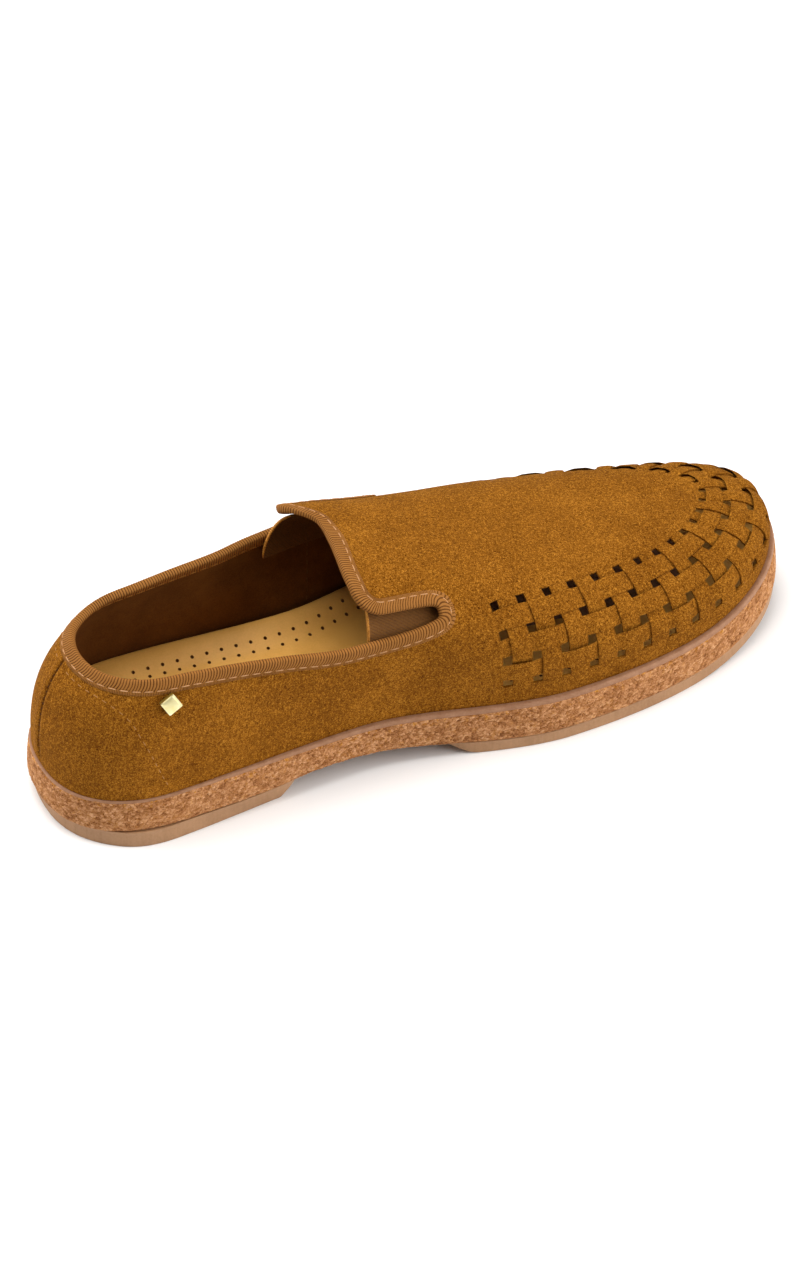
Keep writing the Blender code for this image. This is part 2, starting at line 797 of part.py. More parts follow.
def binding_loop():
    """One binding folded over the collar, round both notches and over the tongue edge."""
    sections = []
    for side in (LATERAL, MEDIAL):
        path = edge_path(side)
        run = []
        for k, (t, p) in enumerate(path):
            size = girth(side, t)
            stretch = np.linalg.norm(spot(side, t + 0.5, p) - spot(side, t - 0.5, p))
            before = path[max(k - 1, 0)]
            after = path[min(k + 1, len(path) - 1)]
            if k == 0:
                before = (-after[0], after[1])
            if k == len(path) - 1:
                before, after = (t, p - 0.01), (t, p)
            along = np.array([(after[0] - before[0]) * stretch, (after[1] - before[1]) * size])
            along /= np.linalg.norm(along)
            across = np.array([along[1] / stretch, -along[0] / size])
            run.append(binding_section(side, t, p, across))
        sections.append(run)
    lateral, medial = sections
    loop = lateral + medial[-2:0:-1]
    size = len(loop[0])
    points = [p for section in loop for p in section]
    faces = []
    for k in range(len(loop)):
        m = (k + 1) % len(loop)
        for i in range(size):
            j = (i + 1) % size
            faces.append([k * size + j, k * size + i, m * size + i, m * size + j])
    return points, faces


def gore_sheet(side):
    """Elastic behind the notch, a sheet that gets its thickness afterwards."""
    columns, rows = 8, 5
    foot, top = GORE_REAR[side]
    points, faces = [], []
    for u in range(columns):
        for v in range(rows):
            share = v / (rows - 1)
            rear = foot + (top - foot) * share ** GORE_CURVE
            t = rear + (GORE_FRONT - rear) * u / (columns - 1)
            size = girth(side, t)
            low = collar_part(side, min(t, NOTCH_END)) - GORE_BELOW / size
            high = tongue_part(side, min(t, NOTCH_END)) + GORE_ABOVE / size
            part = low + (high - low) * share
            points.append(spot(side, t, part) - normal(side, t, part) * GORE_DEPTH)
    for u in range(columns - 1):
        for v in range(rows - 1):
            a = u * rows + v
            face = [a, a + rows, a + rows + 1, a + 1]
            faces.append(face if side == LATERAL else face[::-1])
    return points, faces


def surface_frame(side, station, height):
    """Place on the upper with its outward normal and two directions along it."""
    part = part_at_height(side, station, height)
    at, n = spot(side, station, part), normal(side, station, part)
    across = np.cross(np.array([0.0, 0.0, 1.0]), n)
    across /= np.linalg.norm(across)
    return at, n, across, np.cross(n, across)


def metal(name, shape, middle, across, outward, recess, paint, group):
    """Metal fitting on the upper: its front face gets a sunken field and its edges a small bevel."""
    border, depth = recess
    front = max(shape.faces, key=lambda face: face.calc_center_median().z)
    bmesh.ops.inset_region(shape, faces=[front], thickness=border, depth=-depth)
    turn = Matrix([across, np.cross(outward, across), outward]).transposed()
    for vertex in shape.verts:
        vertex.co = Vector(place(turn @ vertex.co + Vector(middle)))
    mesh = bpy.data.meshes.new(name)
    shape.to_mesh(mesh)
    shape.free()
    part = finished(name, mesh, paint, group)
    bevel = part.modifiers.new("bevel", "BEVEL")
    bevel.width = METAL_BEVEL / 1000
    bevel.segments = 2
    bevel.limit_method = "ANGLE"
    return part


def build():
    for item in list(bpy.data.objects):
        bpy.data.objects.remove(item, do_unlink=True)
    group = collection(NAME)

    suede = material("suede", (0.36, 0.19, 0.055), 0.95)
    grosgrain = material("grosgrain", (0.33, 0.19, 0.10), 0.85)
    elastic = material("elastic", (0.22, 0.11, 0.045), 0.9)
    insole_leather = material("insole_leather", (0.50, 0.33, 0.15), 0.5)
    band_rubber = material("band_rubber", (0.47, 0.29, 0.17), 0.9)
    gum_rubber = material("gum_rubber", (0.42, 0.26, 0.16), 0.6)
    brass = material("polished_brass", (0.83, 0.68, 0.36), 0.25, 1.0)

    stations = body_stations(BODY_X)
    tread = body_stations(TREAD_X)

    def band_level(share):
        return lambda x: band_bottom(x) + share * (band_top(x) - band_bottom(x))

    def lip_level(share):
        return lambda x: band_top(x) + share * (lip(x) - band_top(x))

    def plate(x):
        return lip(x) - PLATE_DROP

    def insole_level(column, drop):
        return lambda x: lip(x) + table(INSOLE_RISE, column, x) - drop

    def tread_side(extra):
        return lambda x: -tread_inset(x) + extra

    def insole_side(inside):
        return lambda x: -insole_inset(x) - inside

    solid("outsole", *stack([
        ring(tread, tread_side(-TREAD_ROUND), tread_bottom),
        ring(tread, tread_side(0.0), lambda x: tread_bottom(x) + TREAD_ROUND),
        ring(tread, lambda x: -tread_inset(x, 2), lambda x: band_bottom(x) - GAP),
    ]), gum_rubber, group)

    rings = [ring(stations, offset, band_level(share)) for offset, share in BAND_SIDE]
    rings += [ring(stations, offset, lip_level(share)) for offset, share in LIP_SIDE]
    rings.append(ring(stations, lambda x: -rim_inset(x), lip))
    rings.append(ring(stations, lambda x: -rim_inset(x), plate))
    solid("midsole", *stack(rings), band_rubber, group)

    rings = [ring(stations, insole_side(GAP), lambda x: plate(x) + GAP)]
    for inside, drop in INSOLE_EDGE:
        rings.append(ring(stations, insole_side(inside), insole_level(1, drop), insole_level(2, drop)))
    for inside, drop in INSOLE_MIDDLE:
        rings.append(ring(stations, insole_side(inside), insole_level(3, drop)))
    solid("insole", *stack(rings), insole_leather, group)

    solid("upper", *upper_shell(), suede, group)
    solid("topline_binding", *binding_loop(), grosgrain, group)

    for name, side in (("gore_lateral", LATERAL), ("gore_medial", MEDIAL)):
        gore = solid(name, *gore_sheet(side), elastic, group)
        thick = gore.modifiers.new("thickness", "SOLIDIFY")
        thick.thickness = GORE_THICK / 1000
        thick.offset = -1.0

    at, n, across, up = surface_frame(LATERAL, BADGE_STATION, BADGE_HEIGHT)
    turn = math.radians(BADGE_TURN)
    first = across * math.cos(turn) + up * math.sin(turn)
    shape = bmesh.new()
    bmesh.ops.create_cube(shape, size=1.0)
    bmesh.ops.scale(shape, vec=(BADGE_SIDE, BADGE_SIDE, BADGE_THICK), verts=shape.verts)
    middle = at + n * (METAL_GAP + BADGE_THICK / 2)
    metal("badge", shape, middle, first, n, (BADGE_BORDER, BADGE_RECESS), brass, group)

    shape = bmesh.new()
    bmesh.ops.create_cone(
        shape, cap_ends=True, segments=CLUTCH_SIDES,
        radius1=CLUTCH_RADIUS, radius2=CLUTCH_RADIUS, depth=CLUTCH_THICK,
    )
    middle = at - n * (WALL + METAL_GAP + CLUTCH_THICK / 2)
    metal("badge_clutch", shape, middle, across, -n, (CLUTCH_BORDER, CLUTCH_RECESS), brass, group)


build()
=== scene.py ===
"""Finish of the woven suede loafer: every solid of the frame is redrawn in fine detail, lit and framed.

Sizes are millimetres along the shoe (x from the heel back, y towards the big toe, z up); they become
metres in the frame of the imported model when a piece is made. A lap is a place round the shoe: 0 at the
heel back, positive along the outer side, negative along the inner side, LENGTH at the toe. A part is a
share of the way up a rib of the upper, from the sole to the ridge.
"""
import math

import bpy
import numpy as np
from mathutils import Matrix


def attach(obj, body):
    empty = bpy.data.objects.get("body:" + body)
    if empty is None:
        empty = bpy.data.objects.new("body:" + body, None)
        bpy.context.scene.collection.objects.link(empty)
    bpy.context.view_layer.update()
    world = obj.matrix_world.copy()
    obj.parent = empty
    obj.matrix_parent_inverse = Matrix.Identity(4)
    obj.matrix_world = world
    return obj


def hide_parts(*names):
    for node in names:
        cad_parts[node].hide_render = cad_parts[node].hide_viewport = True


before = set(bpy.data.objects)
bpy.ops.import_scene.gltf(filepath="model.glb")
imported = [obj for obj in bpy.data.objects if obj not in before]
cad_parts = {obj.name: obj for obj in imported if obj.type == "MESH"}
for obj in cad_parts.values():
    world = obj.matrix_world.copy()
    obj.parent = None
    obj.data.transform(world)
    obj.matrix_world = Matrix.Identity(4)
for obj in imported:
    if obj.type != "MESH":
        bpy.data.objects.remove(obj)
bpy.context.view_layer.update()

LENGTH = 290.0
HEEL_CENTRE = 41.9
HEEL_HALF = 35.5
HEEL_POWER = 2.33
TOE_TIP_Y = 7.0
TOE_POWER = 2.25
TOE_START = 240.0
LATERAL = -1
MEDIAL = 1
# waist_x, waist_y, ball_x, ball_y
SIDE_WIDTHS = {
    LATERAL: (107.9, -33.8, 186.0, -48.4),
    MEDIAL: (108.0, 32.0, 188.0, 45.8),
}
MIDDLE_Y = 0.5 * (SIDE_WIDTHS[LATERAL][3] + SIDE_WIDTHS[MEDIAL][3])

# x, band bottom, band top, lip
SOLE_HEIGHTS = (
    (0.0, 6.4, 19.0, 19.9),
    (40.0, 6.6, 18.8, 19.9),
    (72.0, 6.8, 18.5, 20.0),
    (94.0, 8.4, 18.3, 20.1),
    (112.0, 7.7, 18.0, 20.0),
    (135.0, 6.0, 17.7, 19.8),
    (155.0, 4.8, 17.5, 19.6),
    (220.0, 4.6, 16.8, 19.1),
    (290.0, 4.6, 17.4, 19.7),
)
SPRING_START = 235.0
SPRING_RISE = 8.6
SPRING_POWER = 1.9
BREAST_FLOOR = 78.3
BREAST_TOP = 89.0
ARCH_FRONT = 138.0
TREAD_REAR = 152.0
# how far the tread's step in plan starts after the breast's foot and before the front of the arch
STEP_AFTER = 3.0
STEP_BEFORE = 4.0
ARCH_SKIN = 1.1
# x, distance inside the outline: the tread's foot, the top of its side
TREAD_EDGE = (
    (0.0, 1.9, 2.3),
    (10.0, 1.0, 1.4),
    (24.0, -0.8, -0.4),
    (44.0, 0.1, 0.4),
    (62.0, 1.2, 0.6),
    (82.0, 2.2, 0.7),
    (150.0, 0.4, 0.8),
    (290.0, 0.4, 0.8),
)
ARCH_INSET = 4.5
GAP = 0.4
PLATE_DROP = 2.6
WALL = 1.6
RIM_SPARE = 0.3
SUEDE_THICK = 1.1
HEEL_LINING = 24.0
HEM_IN = 0.3
HEM_DOWN = 0.6
# x, distance of the upper's foot inside the outline
UPPER_FOOT = (
    (0.0, 1.7),
    (30.0, 1.7),
    (60.0, 2.2),
    (100.0, 2.6),
    (150.0, 2.8),
    (290.0, 2.8),
)

# x, rise over the lip: lateral edge, medial edge, middle
INSOLE_RISE = (
    (0.0, 8.0, 8.0, 5.1),
    (60.0, 7.2, 8.6, 4.3),
    (105.0, 6.5, 8.6, 4.1),
    (135.0, 5.2, 9.4, 3.2),
    (150.0, 4.2, 8.4, 2.7),
    (200.0, 2.9, 3.6, 2.1),
    (290.0, 2.5, 2.5, 1.9),
)
INSOLE_SPACE = 2.4

# station, ridge x, ridge y, ridge z, squareness, lateral bulge, medial bulge
RIDGE = (
    (0.0, 41.0, 0.0, 75.0, 2.3, 1.7, 1.7),
    (10.0, 42.0, 0.0, 75.5, 2.35, 0.9, -0.2),
    (20.0, 46.0, 0.0, 77.0, 2.45, 0.5, -2.7),
    (32.0, 52.0, 0.5, 79.0, 2.55, 1.7, -3.9),
    (48.0, 58.0, 1.0, 82.0, 2.7, 2.2, -4.5),
    (64.0, 70.0, 1.8, 86.0, 2.85, 2.2, -3.4),
    (80.0, 84.0, 2.5, 88.0, 3.0, 3.4, -0.7),
    (96.0, 97.0, 3.5, 86.0, 3.1, 5.6, 5.0),
    (110.5, 110.5, 4.5, 82.0, 3.2, 7.0, 8.0),
    (141.0, 141.0, 5.0, 74.0, 3.0, 6.0, 5.0),
    (165.0, 163.0, 6.0, 67.4, 2.8, 4.2, 3.2),
    (190.0, 185.0, 7.0, 61.8, 2.6, 2.8, 2.6),
    (220.0, 208.0, 7.5, 56.2, 2.5, 2.5, 2.5),
    (250.0, 225.0, 8.0, 52.6, 2.4, 2.0, 2.0),
    (290.0, 241.0, 8.0, 49.4, 2.4, 2.0, 2.0),
)
# station, height of the wall's top edge: lateral, medial
COLLAR = (
    (0.0, 67.2, 67.2),
    (20.0, 66.2, 67.2),
    (48.0, 66.2, 66.6),
    (80.0, 62.8, 64.6),
    (104.0, 59.0, 62.6),
    (122.0, 59.2, 62.2),
    (141.0, 60.6, 62.4),
)
# station, part of the girth below the plain vamp
VAMP_EDGE = (
    (165.0, 0.62),
    (190.0, 0.63),
    (230.0, 0.66),
    (265.0, 0.70),
    (290.0, 0.72),
)
NOTCH_START = 110.5
NOTCH_END = 141.0
TONGUE_REAR = {LATERAL: 111.0, MEDIAL: 105.5}
TONGUE_MIDDLE = 114.0
# share of the way up to the ridge where the tongue's rear edge starts forward, and where it is all forward
SCOOP = {LATERAL: (0.15, 1.0), MEDIAL: (0.0, 0.75)}
LEAN_START = 165.0
LEAN_SPAN = 40.0
# width of the notch at its rear and at its front
SLOT = {LATERAL: (12.5, 8.0), MEDIAL: (9.0, 6.0)}
SLOT_ROUND = 5
TONGUE_CORNER = 9.0

WEAVE_START = 152.0
STRIPS_PER_SIDE = 14
STRIP_SHARE = 0.68
LONG_STRIPS = 5
ROW_GAP_SHARE = 0.42
STRIP_THICK = 1.05
STRIP_WAVE = 0.55
STRIP_CROWN = 0.28

BINDING_OUT = 4.5
BINDING_IN = 4.0
BINDING_HIGH = 0.85
RIB_PITCH = 1.0
RIB_DEPTH = 0.2
STITCH_PITCH = 4.3
STITCH_LONG = 3.2

GORE_DEPTH = 3.5
GORE_THICK = 1.0
# station of the gore's rear edge at its foot and at its top
GORE_REAR = {LATERAL: (113.0, 116.0), MEDIAL: (99.5, 111.0)}
GORE_CURVE = 1.8
GORE_FRONT = 149.0
GORE_BELOW = 8.0
GORE_ABOVE = 6.0
GORE_RIB = 0.7

BADGE_STATION = 38.0
BADGE_HEIGHT = 58.9
BADGE_SIDE = 5.8
BADGE_THICK = 1.8
BADGE_TURN = 30.0
CLUTCH_RADIUS = 3.8
CLUTCH_THICK = 1.4

# lap, height: faint sewn line at the front of the heel stiffener
COUNTER_LINE = (
    (2.0, 62.2),
    (11.0, 61.4),
    (20.0, 60.0),
    (28.0, 55.0),
    (33.0, 42.0),
    (37.0, 26.0),
    (38.0, 22.6),
)
# lap, height, half length along the lap, half height, rise: soft hollows and swells of the suede
CREASES = (
    (34.0, 44.0, 5.0, 26.0, 0.35),
    (-34.0, 44.0, 5.0, 26.0, 0.35),
    (78.0, 43.0, 26.0, 7.0, -0.55),
    (-78.0, 43.0, 26.0, 7.0, -0.55),
    (58.0, 30.0, 16.0, 5.0, 0.35),
    (108.0, 36.0, 9.0, 12.0, 0.4),
    (-108.0, 36.0, 9.0, 12.0, 0.4),
    (132.0, 40.0, 8.0, 14.0, -0.45),
    (-132.0, 40.0, 8.0, 14.0, -0.45),
)

# seam down the heel: height of its foot, distance over which it fades in, groove and the two rolled edges
SEAM_FOOT = 20.5
SEAM_FADE = 3.0
SEAM_DEEP = 1.1
SEAM_WIDE = 0.55
ROLL_HIGH = 0.4
ROLL_WIDE = 1.5
ROLL_AWAY = 2.6

PERIOD = 2 * LENGTH
LAP_STEP = 0.5
PARTS = 161
# half the distance over which directions and slopes are measured
REACH = 2.0
# outline: points round heel and toe, millimetres between points along the sides, least distance of two points
HEEL_STEPS = 80
TOE_STEPS = 120
SIDE_STEP = 1.5
SAME_PLACE = 1e-6
# points up a rib, and along other lines that are only measured
RIB_STEPS = 200
FINE_STEPS = 400
LEAST_RUN = 0.1
# digits that points and stations are compared by
WELD_DIGITS = 3
STATION_DIGITS = 4
MM_PER_M = 1000


def table(rows, column, key):
    """Smooth values of a column at some keys, through every row."""
    keys = np.array([row[0] for row in rows])
    values = np.array([row[column] for row in rows])
    key = np.clip(key, keys[0], keys[-1])
    slopes = np.gradient(values, keys)
    i = np.clip(np.searchsorted(keys, key) - 1, 0, len(keys) - 2)
    span = keys[i + 1] - keys[i]
    u = (key - keys[i]) / span
    a = values[i] * (1 + 2 * u) * (1 - u) ** 2 + values[i + 1] * u * u * (3 - 2 * u)
    b = span * (slopes[i] * u * (1 - u) ** 2 - slopes[i + 1] * u * u * (1 - u))
    return a + b


def ease(u):
    """Smooth step from 0 to 1."""
    u = np.clip(u, 0.0, 1.0)
    return u * u * (3 - 2 * u)


def unit(vectors):
    return vectors / np.linalg.norm(vectors, axis=-1, keepdims=True)


def running_length(points):
    steps = np.linalg.norm(np.diff(points, axis=0), axis=1)
    return np.concatenate([[0.0], np.cumsum(steps)])


# Plan outline

def half_outline(side):
    """Dense plan outline of one side, from the heel back to the toe tip."""
    waist_x, waist_y, ball_x, ball_y = SIDE_WIDTHS[side]
    a = np.linspace(0.0, math.pi / 2, HEEL_STEPS)[:-1]
    heel = np.column_stack([
        HEEL_CENTRE * (1 - np.cos(a) ** (2 / HEEL_POWER)),
        side * HEEL_HALF * np.sin(a) ** (2 / HEEL_POWER),
    ])
    x = np.arange(HEEL_CENTRE, waist_x, SIDE_STEP)
    u = ease((x - HEEL_CENTRE) / (waist_x - HEEL_CENTRE))
    rear = np.column_stack([x, side * HEEL_HALF + (waist_y - side * HEEL_HALF) * u])
    x = np.arange(waist_x, ball_x, SIDE_STEP)
    u = ease((x - waist_x) / (ball_x - waist_x))
    front = np.column_stack([x, waist_y + (ball_y - waist_y) * u])
    a = np.linspace(0.0, math.pi / 2, TOE_STEPS)
    toe = np.column_stack([
        ball_x + (LENGTH - ball_x) * np.sin(a) ** (2 / TOE_POWER),
        TOE_TIP_Y + (ball_y - TOE_TIP_Y) * np.clip(np.cos(a), 0.0, 1.0) ** (2 / TOE_POWER),
    ])
    points = np.concatenate([heel, rear, front, toe])
    keep = np.concatenate([[True], np.diff(running_length(points)) > SAME_PLACE])
    points = points[keep]
    return points, running_length(points)


HALVES = {side: half_outline(side) for side in (LATERAL, MEDIAL)}
LOOP = np.concatenate([HALVES[MEDIAL][0][:0:-1], HALVES[LATERAL][0]])
LOOP_ARC = np.concatenate([-HALVES[MEDIAL][1][:0:-1], HALVES[LATERAL][1]])
LOOP_LENGTH = LOOP_ARC[-1] - LOOP_ARC[0]


def wrap(lap):
    return (np.asarray(lap, float) + LENGTH) % PERIOD - LENGTH


def station_arc(side, station):
    """Arc length along a side at a station (stations equal x between heel and toe)."""
    points, arc = HALVES[side]
    heel = np.interp(HEEL_CENTRE, points[:, 0], arc)
    toe = np.interp(TOE_START, points[:, 0], arc)
    middle = np.interp(station, points[:, 0], arc)
    front = toe + (arc[-1] - toe) * (station - TOE_START) / (LENGTH - TOE_START)
    rear = heel * station / HEEL_CENTRE
    return np.where(station < HEEL_CENTRE, rear, np.where(station > TOE_START, front, middle))


def lap_arc(lap):
    lap = wrap(lap)
    station = np.abs(lap)
    return np.where(lap < 0, -station_arc(MEDIAL, station), station_arc(LATERAL, station))


def loop_point(arc):
    return np.column_stack([np.interp(arc, LOOP_ARC, LOOP[:, k], period=LOOP_LENGTH) for k in (0, 1)])


def plan(lap, offset):
    """Plan points of the outline, moved along the outward normal, and that normal."""
    arc = lap_arc(lap)
    along = unit(loop_point(arc + REACH) - loop_point(arc - REACH))
    outward = np.column_stack([along[:, 1], -along[:, 0]])
    return loop_point(arc) + outward * np.reshape(offset, (-1, 1)), outward


def spring(x):
    """Rise of the sole towards the toe."""
    u = np.clip(x - SPRING_START, 0.0, None) / (LENGTH - SPRING_START)
    return SPRING_RISE * u ** SPRING_POWER


def band_bottom(x):
    return table(SOLE_HEIGHTS, 1, x) + spring(x)


def band_top(x):
    return table(SOLE_HEIGHTS, 2, x) + spring(x)


def lip(x):
    return table(SOLE_HEIGHTS, 3, x) + spring(x)


def foot_inset(x):
    return table(UPPER_FOOT, 1, x)


def insole_inset(x):
    return foot_inset(x) + INSOLE_SPACE


def tread_bottom(x):
    """Underside of the tread: flat heel, raised arch, flat forefoot, toe spring."""
    high = band_bottom(x) - GAP - ARCH_SKIN
    breast = np.sin(0.5 * math.pi * np.clip((x - BREAST_FLOOR) / (BREAST_TOP - BREAST_FLOOR), 0.0, 1.0))
    fall = 1 - ease((x - ARCH_FRONT) / (TREAD_REAR - ARCH_FRONT))
    return high * breast * fall + spring(x)


def tread_inset(x, column=1):
    """The tread steps in under the arch."""
    rear = ease((x - BREAST_FLOOR - STEP_AFTER) / (BREAST_TOP - BREAST_FLOOR - STEP_AFTER))
    front = ease((x - ARCH_FRONT + STEP_BEFORE) / (TREAD_REAR - ARCH_FRONT))
    edge = table(TREAD_EDGE, column, x)
    return edge + (ARCH_INSET - edge) * (rear - front)


# Surface of the upper

def rib_grid(laps, angles):
    """Points of ribs of the upper, from the sole (0) to the ridge (a right angle)."""
    station = np.abs(laps)
    edge_x = plan(laps, 0.0)[0][:, 0]
    base, outward = plan(laps, -foot_inset(edge_x))
    rx, ry, rz, power = (table(RIDGE, k, station) for k in (1, 2, 3, 4))
    bulge = np.where(laps < 0, table(RIDGE, 6, station), table(RIDGE, 5, station))
    bottom = lip(edge_x) + GAP
    e = 1 - np.clip(np.cos(angles), 0.0, 1.0) ** (2 / power[:, None])
    g = np.sin(angles) ** (2 / power[:, None])
    reach = np.column_stack([rx, ry]) - base
    swell = bulge[:, None] * np.sin(2 * angles)
    flat = base[:, None] + reach[:, None] * e[..., None] + outward[:, None] * swell[..., None]
    rise = table(RIDGE, 3, station + REACH) - table(RIDGE, 3, station - REACH)
    run = table(RIDGE, 1, station + REACH) - table(RIDGE, 1, station - REACH)
    lean = ease((station - LEAN_START) / LEAN_SPAN) * rise / np.maximum(run, LEAST_RUN) * -reach[:, 0]
    z = bottom[:, None] + (rz - bottom)[:, None] * g + lean[:, None] * (1 - e) * e
    return np.concatenate([flat, z[..., None]], axis=2)


def surface_grids():
    """Evenly spaced points of the upper's outer face, their normals and the length of every rib."""
    laps = np.arange(-LENGTH, LENGTH + LAP_STEP / 2, LAP_STEP)
    ribs = rib_grid(laps, np.linspace(0.0, math.pi / 2, RIB_STEPS))
    shares = np.linspace(0.0, 1.0, PARTS)
    points = np.empty((len(laps), PARTS, 3))
    girths = np.empty(len(laps))
    for i, rib in enumerate(ribs):
        length = running_length(rib)
        girths[i] = length[-1]
        for k in range(3):
            points[i, :, k] = np.interp(shares * length[-1], length, rib[:, k])
    ring = np.concatenate([points[-3:-1], points, points[1:3]])
    along = ring[4:] - ring[:-4]
    up = np.gradient(points, axis=1)
    return points, unit(np.cross(along, up)), girths


GRID, GRID_NORMALS, GIRTHS = surface_grids()


def sampled(grid, lap, part):
    """Values of a grid between its points."""
    i = (wrap(lap) + LENGTH) / LAP_STEP
    j = np.clip(part, 0.0, 1.0) * (PARTS - 1)
    i0 = np.minimum(i.astype(int), len(grid) - 2)
    j0 = np.minimum(j.astype(int), PARTS - 2)
    u, v = (i - i0)[..., None], (j - j0)[..., None]
    low = grid[i0, j0] * (1 - u) + grid[i0 + 1, j0] * u
    high = grid[i0, j0 + 1] * (1 - u) + grid[i0 + 1, j0 + 1] * u
    return low * (1 - v) + high * v


def both(lap, part):
    lap, part = np.broadcast_arrays(np.asarray(lap, float), np.asarray(part, float))
    return lap, part


def skin(lap, part, height=0.0):
    """Points at a height over the outer face of the upper."""
    lap, part = both(lap, part)
    height = np.broadcast_to(height, lap.shape)[..., None]
    return sampled(GRID, lap, part) + facing(lap, part) * height


def facing(lap, part):
    lap, part = both(lap, part)
    return unit(sampled(GRID_NORMALS, lap, part))


def girth(lap):
    return np.interp(wrap(lap), np.arange(-LENGTH, LENGTH + LAP_STEP / 2, LAP_STEP), GIRTHS)


def part_at_height(lap, height):
    """Part of each rib at a height."""
    lap, height = both(lap, height)
    shares = np.linspace(0.0, 1.0, PARTS)
    found = []
    for one_lap, one_height in zip(lap.ravel(), height.ravel()):
        rib = sampled(GRID, np.full(PARTS, one_lap), shares)
        found.append(np.interp(one_height, rib[:, 2], shares))
    return np.reshape(found, lap.shape)


COLLAR_LAPS = np.arange(-NOTCH_END, NOTCH_END + LAP_STEP, LAP_STEP)
COLLAR_PARTS = part_at_height(COLLAR_LAPS, np.where(
    COLLAR_LAPS < 0,
    table(COLLAR, 2, np.abs(COLLAR_LAPS)),
    table(COLLAR, 1, np.abs(COLLAR_LAPS)),
))


def by_side(lap, values):
    """Value for the side of each lap."""
    return np.where(wrap(lap) < 0, values[MEDIAL], values[LATERAL])


def slot_width(lap):
    """Straight and rounded width of the notch."""
    u = np.clip((np.abs(wrap(lap)) - NOTCH_START) / (NOTCH_END - NOTCH_START), -1.0, 1.0)
    rear = by_side(lap, {side: widths[0] for side, widths in SLOT.items()})
    front = by_side(lap, {side: widths[1] for side, widths in SLOT.items()})
    straight = rear + (front - rear) * u
    return straight, straight * (1 - np.clip(u, 0.0, 1.0) ** SLOT_ROUND) ** (1 / SLOT_ROUND)


def wall_top(lap):
    """Upper edge of the side wall: collar, notch, then the border of the plain vamp."""
    lap = wrap(lap)
    station = np.abs(lap)
    straight, width = slot_width(lap)
    lift = np.where(station > NOTCH_START, 0.5 * (straight - width), 0.0)
    rear = np.interp(lap, COLLAR_LAPS, COLLAR_PARTS) + lift / girth(lap)
    end = np.where(lap < 0, -NOTCH_END, NOTCH_END)
    start = np.interp(end, COLLAR_LAPS, COLLAR_PARTS) + 0.5 * slot_width(end)[0] / girth(end)
    first = VAMP_EDGE[0]
    joined = start + (first[1] - start) * ease((station - NOTCH_END) / (first[0] - NOTCH_END))
    front = np.where(station < first[0], joined, table(VAMP_EDGE, 1, station))
    return np.where(station <= NOTCH_END, rear, front)


def tongue_rear(lap):
    """Station of the tongue's rear corner on the side of a lap."""
    return by_side(lap, TONGUE_REAR)


def tongue_edge(lap):
    """Lower edge of the tongue and vamp, with the tongue's round rear corners."""
    lap = wrap(lap)
    station, rear = np.abs(lap), tongue_rear(lap)
    slot = np.where(station < NOTCH_END, slot_width(lap)[1], 0.0)
    ahead = np.clip((station - rear) / TONGUE_CORNER, 0.0, 1.0)
    round_off = TONGUE_CORNER * (1 - np.sqrt(1 - (1 - ahead) ** 2))
    return wall_top(lap) + slot / girth(lap) + round_off / girth(np.sign(lap) * rear)


def scoop(side, share):
    """Share of the way forward that the tongue's rear edge has come, by the share of the way up."""
    start, end = SCOOP[LATERAL if side > 0 else MEDIAL]
    return ease((share - start) / (end - start))


def strip_lines():
    """Row lines across the side wall as shares of its height."""
    lines = [0.0]
    for k in range(LONG_STRIPS):
        lines.append(lines[-1] + 1.0)
        if k < LONG_STRIPS - 1:
            lines.append(lines[-1] + ROW_GAP_SHARE)
    return np.array(lines) / lines[-1]


ROWS = strip_lines()


def strip_laps():
    """Laps of both edges of every cross strip, round the toe from the outer to the inner side."""
    first = 0.5 * sum(float(station_arc(side, WEAVE_START)) for side in (LATERAL, MEDIAL))
    last = 0.5 * sum(HALVES[side][1][-1] for side in (LATERAL, MEDIAL))
    pitch = (last - first) / (STRIPS_PER_SIDE + 0.5 * STRIP_SHARE)
    fine = np.linspace(WEAVE_START, LENGTH, FINE_STEPS)
    arcs = 0.5 * sum(station_arc(side, fine) for side in (LATERAL, MEDIAL))
    marks = []
    for k in range(STRIPS_PER_SIDE):
        marks += [first + k * pitch, first + (k + STRIP_SHARE) * pitch]
    marks.append(first + STRIPS_PER_SIDE * pitch)
    laps = np.interp(marks, arcs, fine)
    return np.concatenate([laps, PERIOD - laps[::-1]])


STRIPS = strip_laps()
STRIP_COUNT = len(STRIPS) // 2


# Meshes

def place(points):
    return (np.asarray(points) - np.array([LENGTH / 2, MIDDLE_Y, 0.0])) / MM_PER_M


def piece(name, points, faces, material, replaces=(), sharp=60.0, values=None):
    """A smooth mesh that rides on the shoe; values are named numbers for its material."""
    mesh = bpy.data.meshes.new(name)
    mesh.from_pydata(place(points), [], [list(face) for face in faces])
    for key, numbers in (values or {}).items():
        mesh.attributes.new(key, "FLOAT", "POINT").data.foreach_set("value", np.asarray(numbers, np.float32))
    mesh.validate()
    mesh.materials.append(material)
    mesh.shade_smooth()
    mesh.set_sharp_from_angle(angle=math.radians(sharp))
    item = bpy.data.objects.new(name, mesh)
    bpy.context.scene.collection.objects.link(item)
    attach(item, "root")
    if replaces:
        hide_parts(*replaces)
    return item


